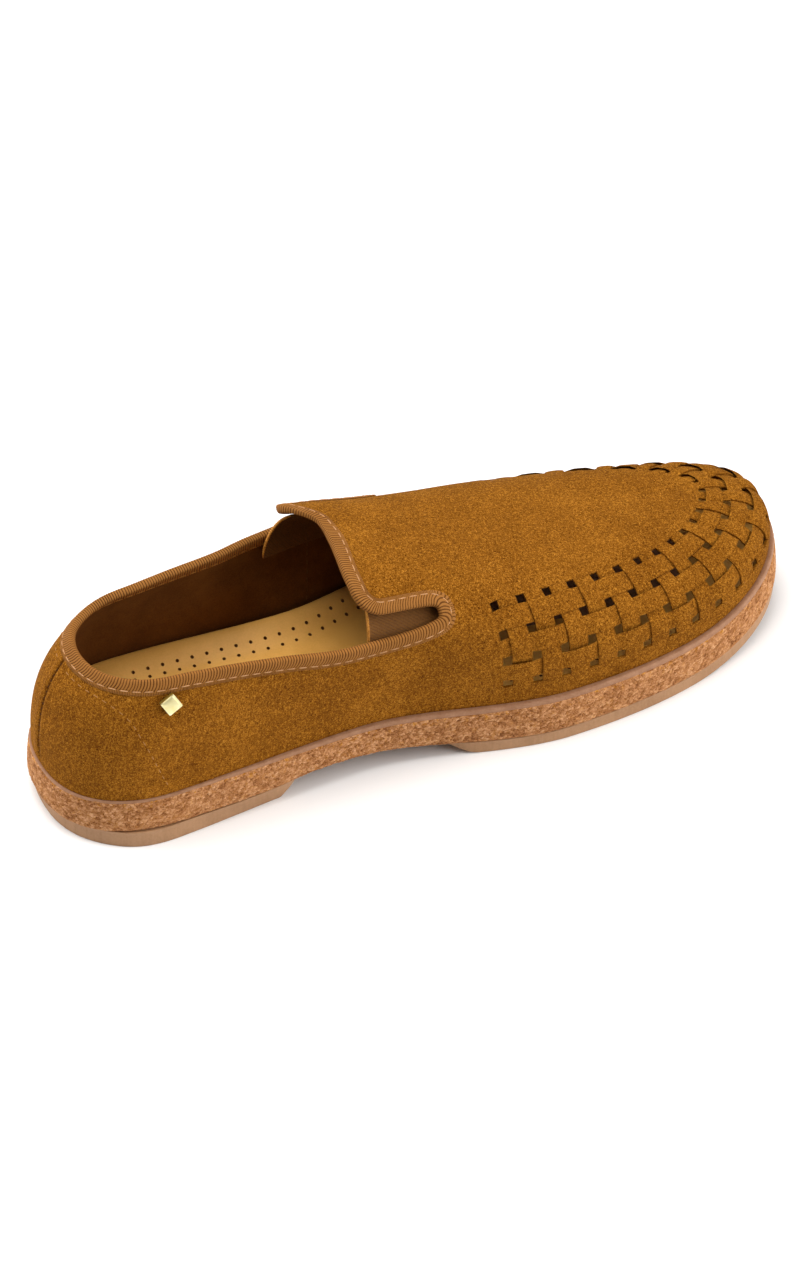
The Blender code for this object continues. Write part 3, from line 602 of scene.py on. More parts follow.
def grid_faces(rows, columns, close_rows=False, close_columns=False):
    """Four-cornered faces of a grid of points, numbered along its columns first."""
    i = np.arange(rows if close_rows else rows - 1)[:, None]
    j = np.arange(columns if close_columns else columns - 1)[None, :]
    a = i * columns + j
    b = (i + 1) % rows * columns + j
    c = (i + 1) % rows * columns + (j + 1) % columns
    d = i * columns + (j + 1) % columns
    return np.stack([a, b, c, d], axis=-1).reshape(-1, 4)


def weld(points, faces, *others):
    """Joins points at the same place."""
    _, first, same = np.unique(np.round(points, WELD_DIGITS), axis=0, return_index=True, return_inverse=True)
    return (points[first], same.reshape(-1)[faces], *(other[first] for other in others))


def thicken(points, normals, faces, depth):
    """Closed sheet: the faces, their copy at a depth below and a wall along every free edge."""
    count = len(points)
    starts = faces.reshape(-1)
    ends = np.roll(faces, -1, axis=1).reshape(-1)
    free = ~np.isin(starts * count + ends, ends * count + starts) & (starts != ends)
    walls = np.column_stack([ends[free], starts[free], starts[free] + count, ends[free] + count])
    every = np.concatenate([points, points - normals * np.reshape(depth, (-1, 1))])
    return every, np.concatenate([faces, faces[:, ::-1] + count, walls])


STITCH_POINTS = 7
# threads: how late their ends narrow and dive, size left at the tip, thickness for their width
TIP_POWER = 6
TIP_LEFT = 0.02
DIVE_POWER = 3
THREAD_FLAT = 0.75


def tubes(paths, normals, across, deep, sides=8):
    """Many short round strands as one mesh. Paths are (strands, points, 3); ends are drawn to a tip."""
    strands, count, _ = paths.shape
    along = unit(np.gradient(paths, axis=1))
    side = unit(np.cross(along, normals))
    up = np.cross(side, along)
    swell = np.sqrt(np.clip(1 - np.linspace(-1, 1, count) ** TIP_POWER, TIP_LEFT, 1.0))[None, :, None, None]
    turn = np.linspace(0, 2 * math.pi, sides, endpoint=False)
    ring = (side[:, :, None] * (across * np.cos(turn))[:, None]
            + up[:, :, None] * (deep * np.sin(turn))[:, None])
    points = (paths[:, :, None] + ring * swell).reshape(-1, 3)
    one = grid_faces(count, sides, close_columns=True)
    size = count * sides
    faces = (one[None] + (np.arange(strands) * size)[:, None, None]).reshape(-1, 4)
    caps = []
    for k in range(strands):
        caps.append(np.arange(k * size, k * size + sides)[::-1])
        caps.append(np.arange((k + 1) * size - sides, (k + 1) * size))
    return points, [*faces, *caps]


def stitches(lap, part, height, pitch, long, radius, sag=0.25):
    """Dashes of thread along a line on the upper."""
    line = skin(lap, part, height)
    length = running_length(line)
    count = int(length[-1] / pitch)
    centres = (np.arange(count) + 0.5) * length[-1] / count
    spread = np.linspace(-0.5, 0.5, STITCH_POINTS) * long
    at = centres[:, None] + spread[None, :]
    laps, parts = np.interp(at, length, lap), np.interp(at, length, part)
    heights = np.interp(at, length, np.broadcast_to(height, length.shape))
    dive = sag * (np.abs(spread) / (0.5 * long)) ** DIVE_POWER
    return tubes(skin(laps, parts, heights - dive), facing(laps, parts), radius, radius * THREAD_FLAT)


# Materials

# sockets of the colours in a mixing node
MIX_A = 6
MIX_B = 7
MIX_COLOUR = 2


class Paint:
    """A material under construction; constant values go straight to the shader's sockets."""

    def __init__(self, name, sockets):
        self.material = bpy.data.materials.new(name)
        self.material.use_nodes = True
        self.tree = self.material.node_tree
        self.shader = self.tree.nodes["Principled BSDF"]
        self.feed(self.shader, sockets)
        self.place = self.tree.nodes.new("ShaderNodeTexCoord").outputs["Object"]

    def feed(self, node, sockets):
        for key, value in sockets.items():
            if isinstance(value, bpy.types.NodeSocket):
                self.tree.links.new(value, node.inputs[key])
            else:
                node.inputs[key].default_value = value

    def node(self, kind, sockets, output=0, **settings):
        item = self.tree.nodes.new("ShaderNode" + kind)
        for key, value in settings.items():
            setattr(item, key, value)
        self.feed(item, sockets)
        return item.outputs[output]

    def scaled(self, sx, sy, sz):
        return self.node("Mapping", {"Vector": self.place, "Scale": (sx, sy, sz)})

    def noise(self, size, detail=3.0, rough=0.55, vector=None, curl=0.0):
        """Mottling with features of a size in millimetres."""
        return self.node("TexNoise", {
            "Vector": vector or self.place, "Scale": MM_PER_M / size,
            "Detail": detail, "Roughness": rough, "Distortion": curl,
        })

    def blend(self, a, b, share):
        return self.node("Mix", {"Factor": share, "A": a, "B": b}, data_type="FLOAT")

    def math(self, operation, a, b):
        return self.node("Math", {0: a, 1: b}, operation=operation)

    def value(self, name):
        return self.node("Attribute", {}, output="Fac", attribute_name=name)

    def ramp(self, source, *stops):
        """Colours by a number; stops are (place, colour)."""
        item = self.tree.nodes.new("ShaderNodeValToRGB")
        marks = item.color_ramp.elements
        while len(marks) < len(stops):
            marks.new(0.5)
        for mark, (at, colour) in zip(marks, stops):
            mark.position = at
            mark.color = (*colour, 1.0)
        self.feed(item, {"Fac": source})
        return item.outputs["Color"]

    def tint(self, colour, shade, share, mode="MULTIPLY"):
        item = self.tree.nodes.new("ShaderNodeMix")
        item.data_type = "RGBA"
        item.blend_type = mode
        self.feed(item, {"Factor": share})
        self.feed_at(item, MIX_A, colour)
        self.feed_at(item, MIX_B, shade)
        return item.outputs[MIX_COLOUR]

    def feed_at(self, node, index, value):
        if isinstance(value, bpy.types.NodeSocket):
            self.tree.links.new(value, node.inputs[index])
        else:
            node.inputs[index].default_value = (*value, 1.0)

    def bump(self, height, strength, distance, normal=None):
        sockets = {"Height": height, "Strength": strength, "Distance": distance / MM_PER_M}
        if normal:
            sockets["Normal"] = normal
        return self.node("Bump", sockets)

    def done(self, **links):
        names = {"colour": "Base Color", "roughness": "Roughness", "normal": "Normal"}
        self.feed(self.shader, {names[key]: value for key, value in links.items()})
        return self.material


def suede_paint():
    paint = Paint("suede", {
        "Roughness": 0.95, "Specular IOR Level": 0.03, "Sheen Weight": 0.06, "Sheen Roughness": 0.5,
        "Sheen Tint": (0.85, 0.46, 0.10, 1.0),
    })
    nap = paint.noise(0.40, 2.0, 0.55, curl=1.2)
    clumps = paint.noise(0.95, 2.0, 0.5, paint.scaled(1.0, 1.0, 0.6), curl=0.8)
    brushed = paint.noise(18.0, 3.0, 0.5)
    mottled = paint.blend(paint.blend(nap, clumps, 0.25), brushed, 0.10)
    colour = paint.ramp(
        mottled,
        (0.37, (0.062, 0.018, 0.0010)),
        (0.45, (0.148, 0.048, 0.0032)),
        (0.53, (0.255, 0.090, 0.0072)),
        (0.63, (0.50, 0.208, 0.0240)),
    )
    # painted shade down the heel seam's groove: darker where the groove is deeper
    groove_shaded = paint.tint(colour, (0.22, 0.16, 0.12), paint.value("seam"))
    rough = paint.bump(nap, 0.9, 0.4)
    return paint.done(colour=groove_shaded, normal=paint.bump(clumps, 0.25, 0.5, rough))


def lining_paint():
    paint = Paint("lining", {"Roughness": 0.75, "Specular IOR Level": 0.12})
    fine = paint.noise(0.55, 3.0)
    broad = paint.noise(12.0, 3.0)
    colour = paint.ramp(
        paint.blend(fine, broad, 0.5),
        (0.38, (0.080, 0.026, 0.0042)),
        (0.62, (0.128, 0.047, 0.0085)),
    )
    warm = paint.tint(colour, (1.0, 0.72, 0.50), paint.value("heel"))
    return paint.done(colour=warm, normal=paint.bump(fine, 0.3, 0.2))


def grosgrain_paint():
    paint = Paint("grosgrain", {"Roughness": 0.75, "Specular IOR Level": 0.1})
    yarn = paint.noise(0.35, 2.0)
    worn = paint.noise(9.0, 3.0)
    # colour by rib relief: painted shade in the troughs between the ribs and painted light on their crests,
    # mottled by noise
    shade = paint.math("ADD", paint.value("relief"), paint.blend(yarn, worn, 0.5))
    colour = paint.ramp(
        shade,
        (0.45, (0.066, 0.021, 0.0027)),
        (0.90, (0.146, 0.052, 0.0090)),
        (1.00, (0.295, 0.121, 0.0260)),
    )
    return paint.done(colour=colour, normal=paint.bump(yarn, 0.3, 0.12))


def elastic_paint():
    paint = Paint("elastic", {"Roughness": 0.8, "Specular IOR Level": 0.2, "Sheen Weight": 0.1})
    yarn = paint.noise(0.5, 2.0)
    # colour by rib relief: painted shade in the troughs between the ribs, painted light on their crests
    shade = paint.math("ADD", paint.value("relief"), yarn)
    colour = paint.ramp(shade, (0.4, (0.042, 0.014, 0.002)), (1.0, (0.20, 0.078, 0.012)))
    return paint.done(colour=colour, normal=paint.bump(yarn, 0.35, 0.15))


def selvedge_paint():
    paint = Paint("selvedge", {"Roughness": 0.75, "Specular IOR Level": 0.2})
    yarn = paint.noise(0.6, 2.0)
    colour = paint.ramp(yarn, (0.35, (0.32, 0.115, 0.014)), (0.65, (0.60, 0.265, 0.045)))
    return paint.done(colour=colour, normal=paint.bump(yarn, 0.4, 0.2))


def thread_paint(name, dark, light):
    paint = Paint(name, {"Roughness": 0.7, "Specular IOR Level": 0.15})
    twist = paint.noise(0.4, 2.0)
    colour = paint.ramp(twist, (0.35, dark), (0.65, light))
    return paint.done(colour=colour, normal=paint.bump(twist, 0.4, 0.1))


def insole_paint():
    paint = Paint("insole_leather", {
        "Specular IOR Level": 0.2, "Coat Weight": 0.03, "Coat Roughness": 0.4,
    })
    grain = paint.noise(0.7, 4.0, 0.6)
    broad = paint.noise(26.0, 3.0)
    colour = paint.ramp(
        paint.blend(grain, broad, 0.75),
        (0.40, (0.68, 0.340, 0.071)),
        (0.60, (0.81, 0.422, 0.098)),
    )
    gloss = paint.node("MapRange", {"Value": broad, "To Min": 0.38, "To Max": 0.52})
    return paint.done(colour=colour, roughness=gloss, normal=paint.bump(grain, 0.12, 0.12))


def hole_shade_paint():
    """Painted shade inside the holes in the footbed: a dark brown on their walls and floors."""
    paint = Paint("hole_painted_shade", {"Roughness": 0.9, "Specular IOR Level": 0.1})
    fine = paint.noise(0.5, 2.0)
    return paint.done(colour=paint.ramp(fine, (0.3, (0.150, 0.062, 0.016)), (0.7, (0.220, 0.096, 0.026))))


def band_paint():
    paint = Paint("band_rubber", {"Roughness": 0.85, "Specular IOR Level": 0.12})
    fibre = paint.noise(0.75, 3.0, 0.6, paint.scaled(0.75, 0.75, 1.2), curl=1.2)
    patch = paint.noise(5.0, 3.0)
    fleck = paint.noise(1.6, 2.0, 0.5)
    shade = paint.blend(paint.blend(fibre, patch, 0.25), paint.value("tone"), 0.18)
    rope = paint.ramp(
        shade,
        (0.36, (0.190, 0.066, 0.020)),
        (0.45, (0.37, 0.155, 0.054)),
        (0.55, (0.50, 0.232, 0.094)),
        (0.66, (0.66, 0.360, 0.175)),
    )
    yellow = paint.node("MapRange", {"Value": fleck, "From Min": 0.55, "From Max": 0.66})
    flecked = paint.tint(rope, (0.98, 0.86, 0.36), paint.math("MULTIPLY", yellow, paint.value("top_row")))
    # painted shade in the crevices between the nubs
    deep = paint.tint(flecked, (0.34, 0.20, 0.11), paint.value("crevice"))
    return paint.done(colour=deep, normal=paint.bump(fibre, 0.8, 0.4))


def lip_paint():
    paint = Paint("band_rubber_smooth", {"Roughness": 0.6, "Specular IOR Level": 0.25})
    fine = paint.noise(0.8, 3.0)
    patch = paint.noise(4.0, 3.0)
    shade = paint.blend(fine, patch, 0.6)
    colour = paint.ramp(shade, (0.36, (0.27, 0.128, 0.064)), (0.64, (0.36, 0.186, 0.102)))
    return paint.done(colour=colour, normal=paint.bump(fine, 0.15, 0.12))


def gum_paint():
    paint = Paint("gum_rubber", {"Specular IOR Level": 0.3})
    fine = paint.noise(0.8, 3.0)
    lines = paint.noise(1.3, 2.0, 0.5, paint.scaled(1.0, 1.0, 0.06))
    broad = paint.noise(16.0, 3.0)
    colour = paint.ramp(
        paint.blend(paint.blend(fine, lines, 0.5), broad, 0.4),
        (0.36, (0.32, 0.168, 0.078)),
        (0.64, (0.43, 0.240, 0.122)),
    )
    gloss = paint.node("MapRange", {"Value": fine, "To Min": 0.48, "To Max": 0.62})
    return paint.done(colour=colour, roughness=gloss, normal=paint.bump(lines, 0.15, 0.12))


def brass_paint():
    paint = Paint("polished_brass", {"Metallic": 1.0, "Specular IOR Level": 0.5})
    brushed = paint.noise(0.6, 3.0)
    haze = paint.noise(2.5, 2.0)
    colour = paint.ramp(haze, (0.3, (0.90, 0.78, 0.36)), (0.7, (0.97, 0.90, 0.55)))
    gloss = paint.node("MapRange", {"Value": brushed, "To Min": 0.24, "To Max": 0.38})
    return paint.done(colour=colour, roughness=gloss, normal=paint.bump(brushed, 0.05, 0.05))


def shaded_side_brass_paint():
    """Brass of the badge's sides, brushed, and darkened with painted shade."""
    paint = Paint("brushed_brass_painted_shade", {"Metallic": 0.6, "Specular IOR Level": 0.3, "Roughness": 0.5})
    brushed = paint.noise(0.4, 3.0)
    colour = paint.ramp(brushed, (0.3, (0.15, 0.085, 0.008)), (0.7, (0.24, 0.145, 0.018)))
    return paint.done(colour=colour, normal=paint.bump(brushed, 0.1, 0.05))


def floor_paint():
    paint = Paint("pale_floor", {"Roughness": 0.9, "Specular IOR Level": 0.1})
    broad = paint.noise(400.0, 2.0)
    return paint.done(colour=paint.ramp(broad, (0.3, (0.90, 0.90, 0.90)), (0.7, (0.93, 0.93, 0.93))))


SUEDE = suede_paint()
LINING = lining_paint()
GROSGRAIN = grosgrain_paint()
ELASTIC = elastic_paint()
SELVEDGE = selvedge_paint()
PALE_THREAD = thread_paint("pale_thread", (0.36, 0.165, 0.060), (0.58, 0.32, 0.145))
TAN_THREAD = thread_paint("tan_thread", (0.26, 0.105, 0.018), (0.40, 0.180, 0.040))
SOFT_THREAD = thread_paint("soft_thread", (0.30, 0.128, 0.030), (0.44, 0.215, 0.062))
LINING_THREAD = thread_paint("lining_thread", (0.085, 0.036, 0.010), (0.16, 0.072, 0.022))
DARK_THREAD = thread_paint("dark_thread", (0.05, 0.018, 0.004), (0.12, 0.045, 0.010))
INSOLE = insole_paint()
HOLE_SHADE = hole_shade_paint()
BAND = band_paint()
LIP = lip_paint()
GUM = gum_paint()
BRASS = brass_paint()
SHADED_SIDE_BRASS = shaded_side_brass_paint()


# Upper

def creases(lap, points):
    """Rise of the upper over its plain form: soft hollows and swells."""
    lap = wrap(lap)
    rise = 0.0
    for at, level, along, tall, amount in CREASES:
        rise = rise + amount * np.exp(-((lap - at) / along) ** 2 - ((points[..., 2] - level) / tall) ** 2)
    return rise


def heel_seam(lap, points):
    """Rise of the suede at the seam down the heel: a groove between two rolled edges."""
    arc = lap_arc(wrap(lap))
    fade = ease((points[..., 2] - SEAM_FOOT) / SEAM_FADE)
    rolls = ROLL_HIGH * np.exp(-((np.abs(arc) - ROLL_AWAY) / ROLL_WIDE) ** 2)
    return fade * (rolls - SEAM_DEEP * np.exp(-(arc / SEAM_WIDE) ** 2))


# millimetres between the points of the suede and of the lining
SUEDE_STEP = 1.2
LINING_STEP = 2.2
LINING_GAP = 0.02
LINING_FADE = 1.5
# end of the stretch with close stations at the heel seam, and how close they are there and in the notch
SEAM_STRETCH = 4.0
SEAM_CLOSE = 0.25
NOTCH_CLOSE = 2.4
# millimetres that the steps are counted over: round the notch, on to the first strip, round the toe
NOTCH_SPAN = 40.0
BRIDGE_SPAN = 18.0
FRONT_SPAN = 160.0
# the same up the wall's lowest and highest row and its woven rows, round the tongue's corner, over the vamp
ROW_SPAN = 9.0
WOVEN_SPAN = 32.0
CORNER_SPAN = 18.0
VAMP_SPAN = 34.0
CORNER_SPARE = 0.2


def stations(step):
    """Stations from heel to toe: close at the heel seam and at the round end of the notch."""
    notch = 1 - (1 - np.linspace(0.0, 1.0, int(NOTCH_SPAN / step))) ** NOTCH_CLOSE
    first_strip = STRIPS[1]
    return np.unique(np.round(np.concatenate([
        np.arange(0.0, SEAM_STRETCH, SEAM_CLOSE * step),
        np.linspace(SEAM_STRETCH, NOTCH_START, int((NOTCH_START - SEAM_STRETCH) / step)),
        NOTCH_START + (NOTCH_END - NOTCH_START) * notch,
        np.linspace(NOTCH_END, first_strip, int(BRIDGE_SPAN / step) + 1),
        np.linspace(first_strip, LENGTH, int(FRONT_SPAN / step)),
    ]), STATION_DIGITS))


def shell(step, woven):
    """Points round and over the shoe as laps and parts, with faces; the woven side stays open."""
    marks = stations(step)
    laps = np.concatenate([marks[:-1], PERIOD - marks[:0:-1]])
    rows = np.unique(np.concatenate([
        np.linspace(0.0, ROWS[1], int(ROW_SPAN / step)),
        np.linspace(ROWS[1], ROWS[-2], int(WOVEN_SPAN / step)),
        np.linspace(ROWS[-2], 1.0, int(ROW_SPAN / step)),
    ]))
    side_part = wall_top(laps)[:, None] * rows[None]
    side_lap = np.broadcast_to(laps[:, None], side_part.shape)
    faces = grid_faces(len(laps), len(rows), close_rows=True).reshape(len(laps), len(rows) - 1, 4)
    middle = 0.5 * (rows[1:] + rows[:-1])
    ahead = 0.5 * (laps + np.append(laps[1:], PERIOD))
    front = (ahead > STRIPS[1]) & (ahead < STRIPS[-2])
    if woven:
        open_rows = (middle > ROWS[1]) & (middle < ROWS[-2])
        keep = ~(front[:, None] & open_rows[None])
    else:
        keep = ~np.broadcast_to(front[:, None], faces.shape[:2])
    side_faces = faces[keep]

    rear = TONGUE_REAR[LATERAL]
    corner = TONGUE_CORNER * (1 - np.cos(np.linspace(0.0, math.pi / 2, int(CORNER_SPAN / step))))
    behind = marks[(marks > rear + TONGUE_CORNER + CORNER_SPARE) & (marks < NOTCH_END)]
    along = np.concatenate([corner, behind - rear]) / (NOTCH_END - rear)
    ahead = marks[marks >= NOTCH_END]
    shares = np.linspace(0.0, 1.0, int(VAMP_SPAN / step))
    top_laps, top_parts, top_faces = [], [], []
    start = side_part.size
    for side in (1, -1):
        rear = float(tongue_rear(side))
        over = np.concatenate([rear + (NOTCH_END - rear) * along, ahead])
        middle = np.concatenate([TONGUE_MIDDLE + (NOTCH_END - TONGUE_MIDDLE) * along, ahead])
        edge = tongue_edge(side * over)[:, None]
        part = edge + (1 - edge) * shares
        station = over[:, None] + (middle - over)[:, None] * scoop(side, shares)
        top_parts.append(part.ravel())
        top_laps.append(side * station.ravel())
        one = grid_faces(len(over), len(shares)) + start
        top_faces.append(one if side > 0 else one[:, ::-1])
        start += part.size
    lap = np.concatenate([side_lap.ravel(), *top_laps])
    part = np.concatenate([side_part.ravel(), *top_parts])
    return lap, part, np.concatenate([side_faces, *top_faces]), laps, len(rows)


def used_only(points, faces, *others):
    """Drops points that no face uses and joins points at the same place."""
    used = np.unique(faces)
    index = np.zeros(len(points), int)
    index[used] = np.arange(len(used))
    return weld(points[used], index[faces], *(other[used] for other in others))


def make_suede():
    lap, part, faces, laps, rows = shell(SUEDE_STEP, woven=True)
    points, normals = skin(lap, part), facing(lap, part)
    seam = heel_seam(lap, points)
    points = points + normals * (creases(lap, points) + seam)[:, None]
    foot = np.arange(len(laps)) * rows
    flat = unit(normals[foot] * np.array([1.0, 1.0, 0.0]))
    low = points[foot] - flat * HEM_IN - np.array([0.0, 0.0, HEM_DOWN])
    ids = len(points) + np.arange(len(laps))
    hem = np.column_stack([ids, np.roll(ids, -1), np.roll(foot, -1), foot])
    points, faces, normals, seam = used_only(
        np.concatenate([points, low]), np.concatenate([faces, hem]),
        np.concatenate([normals, flat]), np.concatenate([seam, seam[foot]]),
    )
    sheet, closed = thicken(points, normals, faces, SUEDE_THICK + seam)
    # painted shade for the heel seam's groove, by its depth
    shade = np.tile(np.clip(-seam / SEAM_DEEP, 0.0, 1.0), 2)
    piece("upper_suede", sheet, closed, SUEDE, ("upper",), values={"seam": shade})


def make_lining():
    lap, part, faces, _, _ = shell(LINING_STEP, woven=False)
    points, normals = skin(lap, part), facing(lap, part)
    points = points + normals * (creases(lap, points) - SUEDE_THICK - LINING_GAP)[:, None]
    heel = 1 - ease((np.abs(wrap(lap)) - HEEL_LINING) / LINING_FADE)
    points, faces, normals, heel = used_only(points, faces, normals, heel)
    sheet, closed = thicken(points, normals, faces, np.full(len(points), WALL - SUEDE_THICK))
    piece("lining", sheet, closed, LINING, values={"heel": np.tile(heel, 2)})


STRIP_TOP_POINTS = 11
STRIP_LOW_POINTS = 5
STRIP_LOW_WIDE = 0.97
CROWN_POWER = 2.6
# how flat a strip lies across a crossing, and how much it sags between two
WAVE_FLAT = 1.45
WAVE_SAG = 0.12
# depth of the strips' middle under the suede, and how far their ends reach under it: across, along
STRIP_SINK = 0.04
CROSS_TUCK = 0.03
LONG_TUCK = 1.5
CROSS_POINTS = 64
LONG_POINTS = 420


def strip_section():
    """Rounded section of a strip: place across (-1 to 1) and height."""
    across = np.linspace(-1.0, 1.0, STRIP_TOP_POINTS)
    top = 0.5 * STRIP_THICK - STRIP_CROWN * np.abs(across) ** CROWN_POWER
    low = np.linspace(STRIP_LOW_WIDE, -STRIP_LOW_WIDE, STRIP_LOW_POINTS)
    return np.concatenate([across, low]), np.concatenate([top, np.full(STRIP_LOW_POINTS, -0.5 * STRIP_THICK)])


def wave(at, knots, signs):
    """Over and under: from sign to sign, flat across each crossing."""
    i = np.clip(np.searchsorted(knots, at) - 1, 0, len(knots) - 2)
    u = (at - knots[i]) / (knots[i + 1] - knots[i])
    swing = 0.5 - 0.5 * np.cos(math.pi * np.clip(u, 0.0, 1.0))
    raw = signs[i] + (signs[i + 1] - signs[i]) * swing
    return np.clip(WAVE_FLAT * raw, -1.0, 1.0) * (1 - WAVE_SAG * (1 - np.abs(raw)))


def make_weave():
    """Cross strips and long strips of the forefoot, each passing over and under the others."""
    across, height = strip_section()
    size = len(across)
    points, faces = [], []
    start = 0

    def ribbon(lap, part, level):
        nonlocal start
        points.append(skin(lap, part, level).reshape(-1, 3))
        count = len(lap)
        ends = [np.arange(size)[::-1] + start, np.arange(size) + start + (count - 1) * size]
        faces.extend([*(grid_faces(count, size, close_columns=True)[:, ::-1] + start), *ends])
        start += count * size

    middles = 0.5 * (STRIPS[0::2] + STRIPS[1::2])
    row_middles = 0.5 * (ROWS[0::2] + ROWS[1::2])
    flush = -0.5 * STRIP_THICK - STRIP_SINK
    share = np.linspace(ROWS[1] - CROSS_TUCK, ROWS[-2] + CROSS_TUCK, CROSS_POINTS)
    knots = np.array([ROWS[1], *row_middles[1:-1], ROWS[-2]])
    for k in range(1, STRIP_COUNT - 1):
        signs = np.array([0.0, *(1.0 if (k + j) % 2 else -1.0 for j in range(1, LONG_STRIPS - 1)), 0.0])
        lap = middles[k] + 0.5 * (STRIPS[2 * k + 1] - STRIPS[2 * k]) * across[None, :]
        lap = np.broadcast_to(lap, (len(share), size))
        part = wall_top(lap) * share[:, None]
        ribbon(lap, part, flush + STRIP_WAVE * wave(share, knots, signs)[:, None] + height[None, :])
    long_laps = np.linspace(STRIPS[1] - LONG_TUCK, STRIPS[-2] + LONG_TUCK, LONG_POINTS)
    knots = np.array([STRIPS[1], *middles[1:-1], STRIPS[-2]])
    for j in range(1, LONG_STRIPS - 1):
        signs = np.array([0.0, *(-1.0 if (k + j) % 2 else 1.0 for k in range(1, STRIP_COUNT - 1)), 0.0])
        share = row_middles[j] + 0.5 * (ROWS[2 * j + 1] - ROWS[2 * j]) * across[None, ::-1]
        lap = np.broadcast_to(long_laps[:, None], (len(long_laps), size))
        part = wall_top(lap) * share
        ribbon(lap, part, flush + STRIP_WAVE * wave(long_laps, knots, signs)[:, None] + height[None, :])
    piece("woven_strips", np.concatenate(points), faces, SUEDE, sharp=50.0)


# Binding

COLLAR_POINTS = 300
BEND_POINTS = 400
BEND_CLOSE = 3
CORNER_POINTS = 60
# distances over which the edge line and its normals are smoothed, and depth at which that ends
EDGE_SOFT = 0.8
NORMAL_SOFT = 1.2
DRIFT_DEEP = 3.0
# distances along a lap and a rib over which slopes of the surface are measured
NEAR_LAP = 0.4
NEAR_PART = 0.006


def edge_loop():
    """The collar, both notches and the tongue edge as one loop of laps and parts."""
    collar = np.linspace(0.0, NOTCH_START, COLLAR_POINTS)[:-1]
    bend = 1 - (1 - np.linspace(0.0, 1.0, BEND_POINTS)) ** BEND_CLOSE
    notch = NOTCH_START + (NOTCH_END - NOTCH_START) * bend
    turn = np.linspace(math.pi / 2, 0.0, CORNER_POINTS)
    share = np.linspace(0.0, 1.0, CORNER_POINTS)[1:]
    halves = []
    for side in (1, -1):
        rear = float(tongue_rear(side))
        corner_end = rear + TONGUE_CORNER
        back = (corner_end + (NOTCH_END - corner_end) * bend)[-2:0:-1]
        corner = rear + TONGUE_CORNER * (1 - np.cos(turn))
        edge = tongue_edge(np.array([side * rear]))[0]
        rise = rear + (TONGUE_MIDDLE - rear) * scoop(side, share)
        halves.append((
            side * np.concatenate([collar, notch, back, corner, rise]),
            np.concatenate([
                wall_top(side * collar), wall_top(side * notch), tongue_edge(side * back),
                tongue_edge(side * corner), edge + (1 - edge) * share,
            ]),
        ))
    lap = np.concatenate([halves[0][0], halves[1][0][-2:0:-1]])
    part = np.concatenate([halves[0][1], halves[1][1][-2:0:-1]])
    return lap, part


def even_loop(points, step):
    """Rows at even steps round a closed line; the first three columns are its points."""
    ring = np.concatenate([points, points[:1]])
    length = running_length(ring[:, :3])
    count = int(round(length[-1] / step))
    at = np.arange(count) * length[-1] / count
    even = np.column_stack([np.interp(at, length, ring[:, k]) for k in range(points.shape[1])])
    return even, at, length


def soften(values, width):
    """Running mean round a closed line."""
    reach = np.arange(-3 * width, 3 * width + 1)
    weights = np.exp(-0.5 * (reach / width) ** 2)
    weights /= weights.sum()
    return sum(w * np.roll(values, -r, axis=0) for r, w in zip(reach, weights))


def surface_steps(lap, part, direction):
    """Change of lap and part for a millimetre along a direction that lies in the surface."""
    by_lap = (skin(lap + NEAR_LAP, part) - skin(lap - NEAR_LAP, part)) / (2 * NEAR_LAP)
    low, high = np.clip(part - NEAR_PART, 0.0, 1.0), np.clip(part + NEAR_PART, 0.0, 1.0)
    by_part = (skin(lap, high) - skin(lap, low)) / (high - low)[:, None]
    aa = (by_lap * by_lap).sum(1)
    bb = (by_part * by_part).sum(1)
    ab = (by_lap * by_part).sum(1)
    da = (direction * by_lap).sum(1)
    db = (direction * by_part).sum(1)
    det = aa * bb - ab * ab
    return (da * bb - db * ab) / det, (db * aa - da * ab) / det


def cross_ridge(lap, part):
    """A part past the ridge comes down on the other side."""
    over = part > 1.0
    return np.where(over, -lap, lap), np.where(over, 2.0 - part, part)


class Edge:
    """Frames along the edge loop; a depth is measured from the edge into the upper."""

    def __init__(self, step):
        lap, part = edge_loop()
        even, self.at, length = even_loop(np.column_stack([skin(lap, part), np.abs(lap), part]), step)
        self.length = length[-1]
        side = np.where(self.at < length[np.argmax(part)], 1.0, -1.0)
        self.lap, self.part = side * even[:, 3], even[:, 4]
        self.step = step
        self.near = soften(even[:, :3], max(1, int(EDGE_SOFT / step)))
        self.normal = unit(soften(facing(self.lap, self.part), max(1, int(NORMAL_SOFT / step))))
        along = unit(np.roll(self.near, -1, axis=0) - np.roll(self.near, 1, axis=0))
        self.into = unit(np.cross(along, self.normal))
        self.lap_step, self.part_step = surface_steps(self.lap, self.part, self.into)

    def leg(self, depth, height):
        """Points at a depth below the edge and a height over the suede."""
        depth = np.broadcast_to(depth, self.lap.shape)
        lap, part = cross_ridge(self.lap + self.lap_step * depth, self.part + self.part_step * depth)
        height = np.broadcast_to(height, self.lap.shape)[:, None]
        drift = (self.near - skin(self.lap, self.part)) * np.clip(1 - depth / DRIFT_DEEP, 0.0, 1.0)[:, None]
        return skin(lap, part) + drift + unit(soften(facing(lap, part), 3)) * height


# share of the leg, share of the height over the suede, share of rib relief: from the edge to the fold
BINDING_FACE = (
    (1.00, 0.08, 0.0), (1.015, 0.40, 0.8), (0.95, 0.66, 1.0), (0.86, 0.70, 1.0), (0.80, 0.64, 0.8),
    (0.765, 0.54, 0.4), (0.735, 0.66, 0.7), (0.69, 0.78, 0.9), (0.64, 0.87, 1.0), (0.58, 0.91, 1.0),
    (0.52, 0.95, 1.0), (0.44, 0.97, 1.0), (0.35, 0.99, 1.0), (0.23, 1.00, 1.0), (0.0, 0.98, 0.8),
)
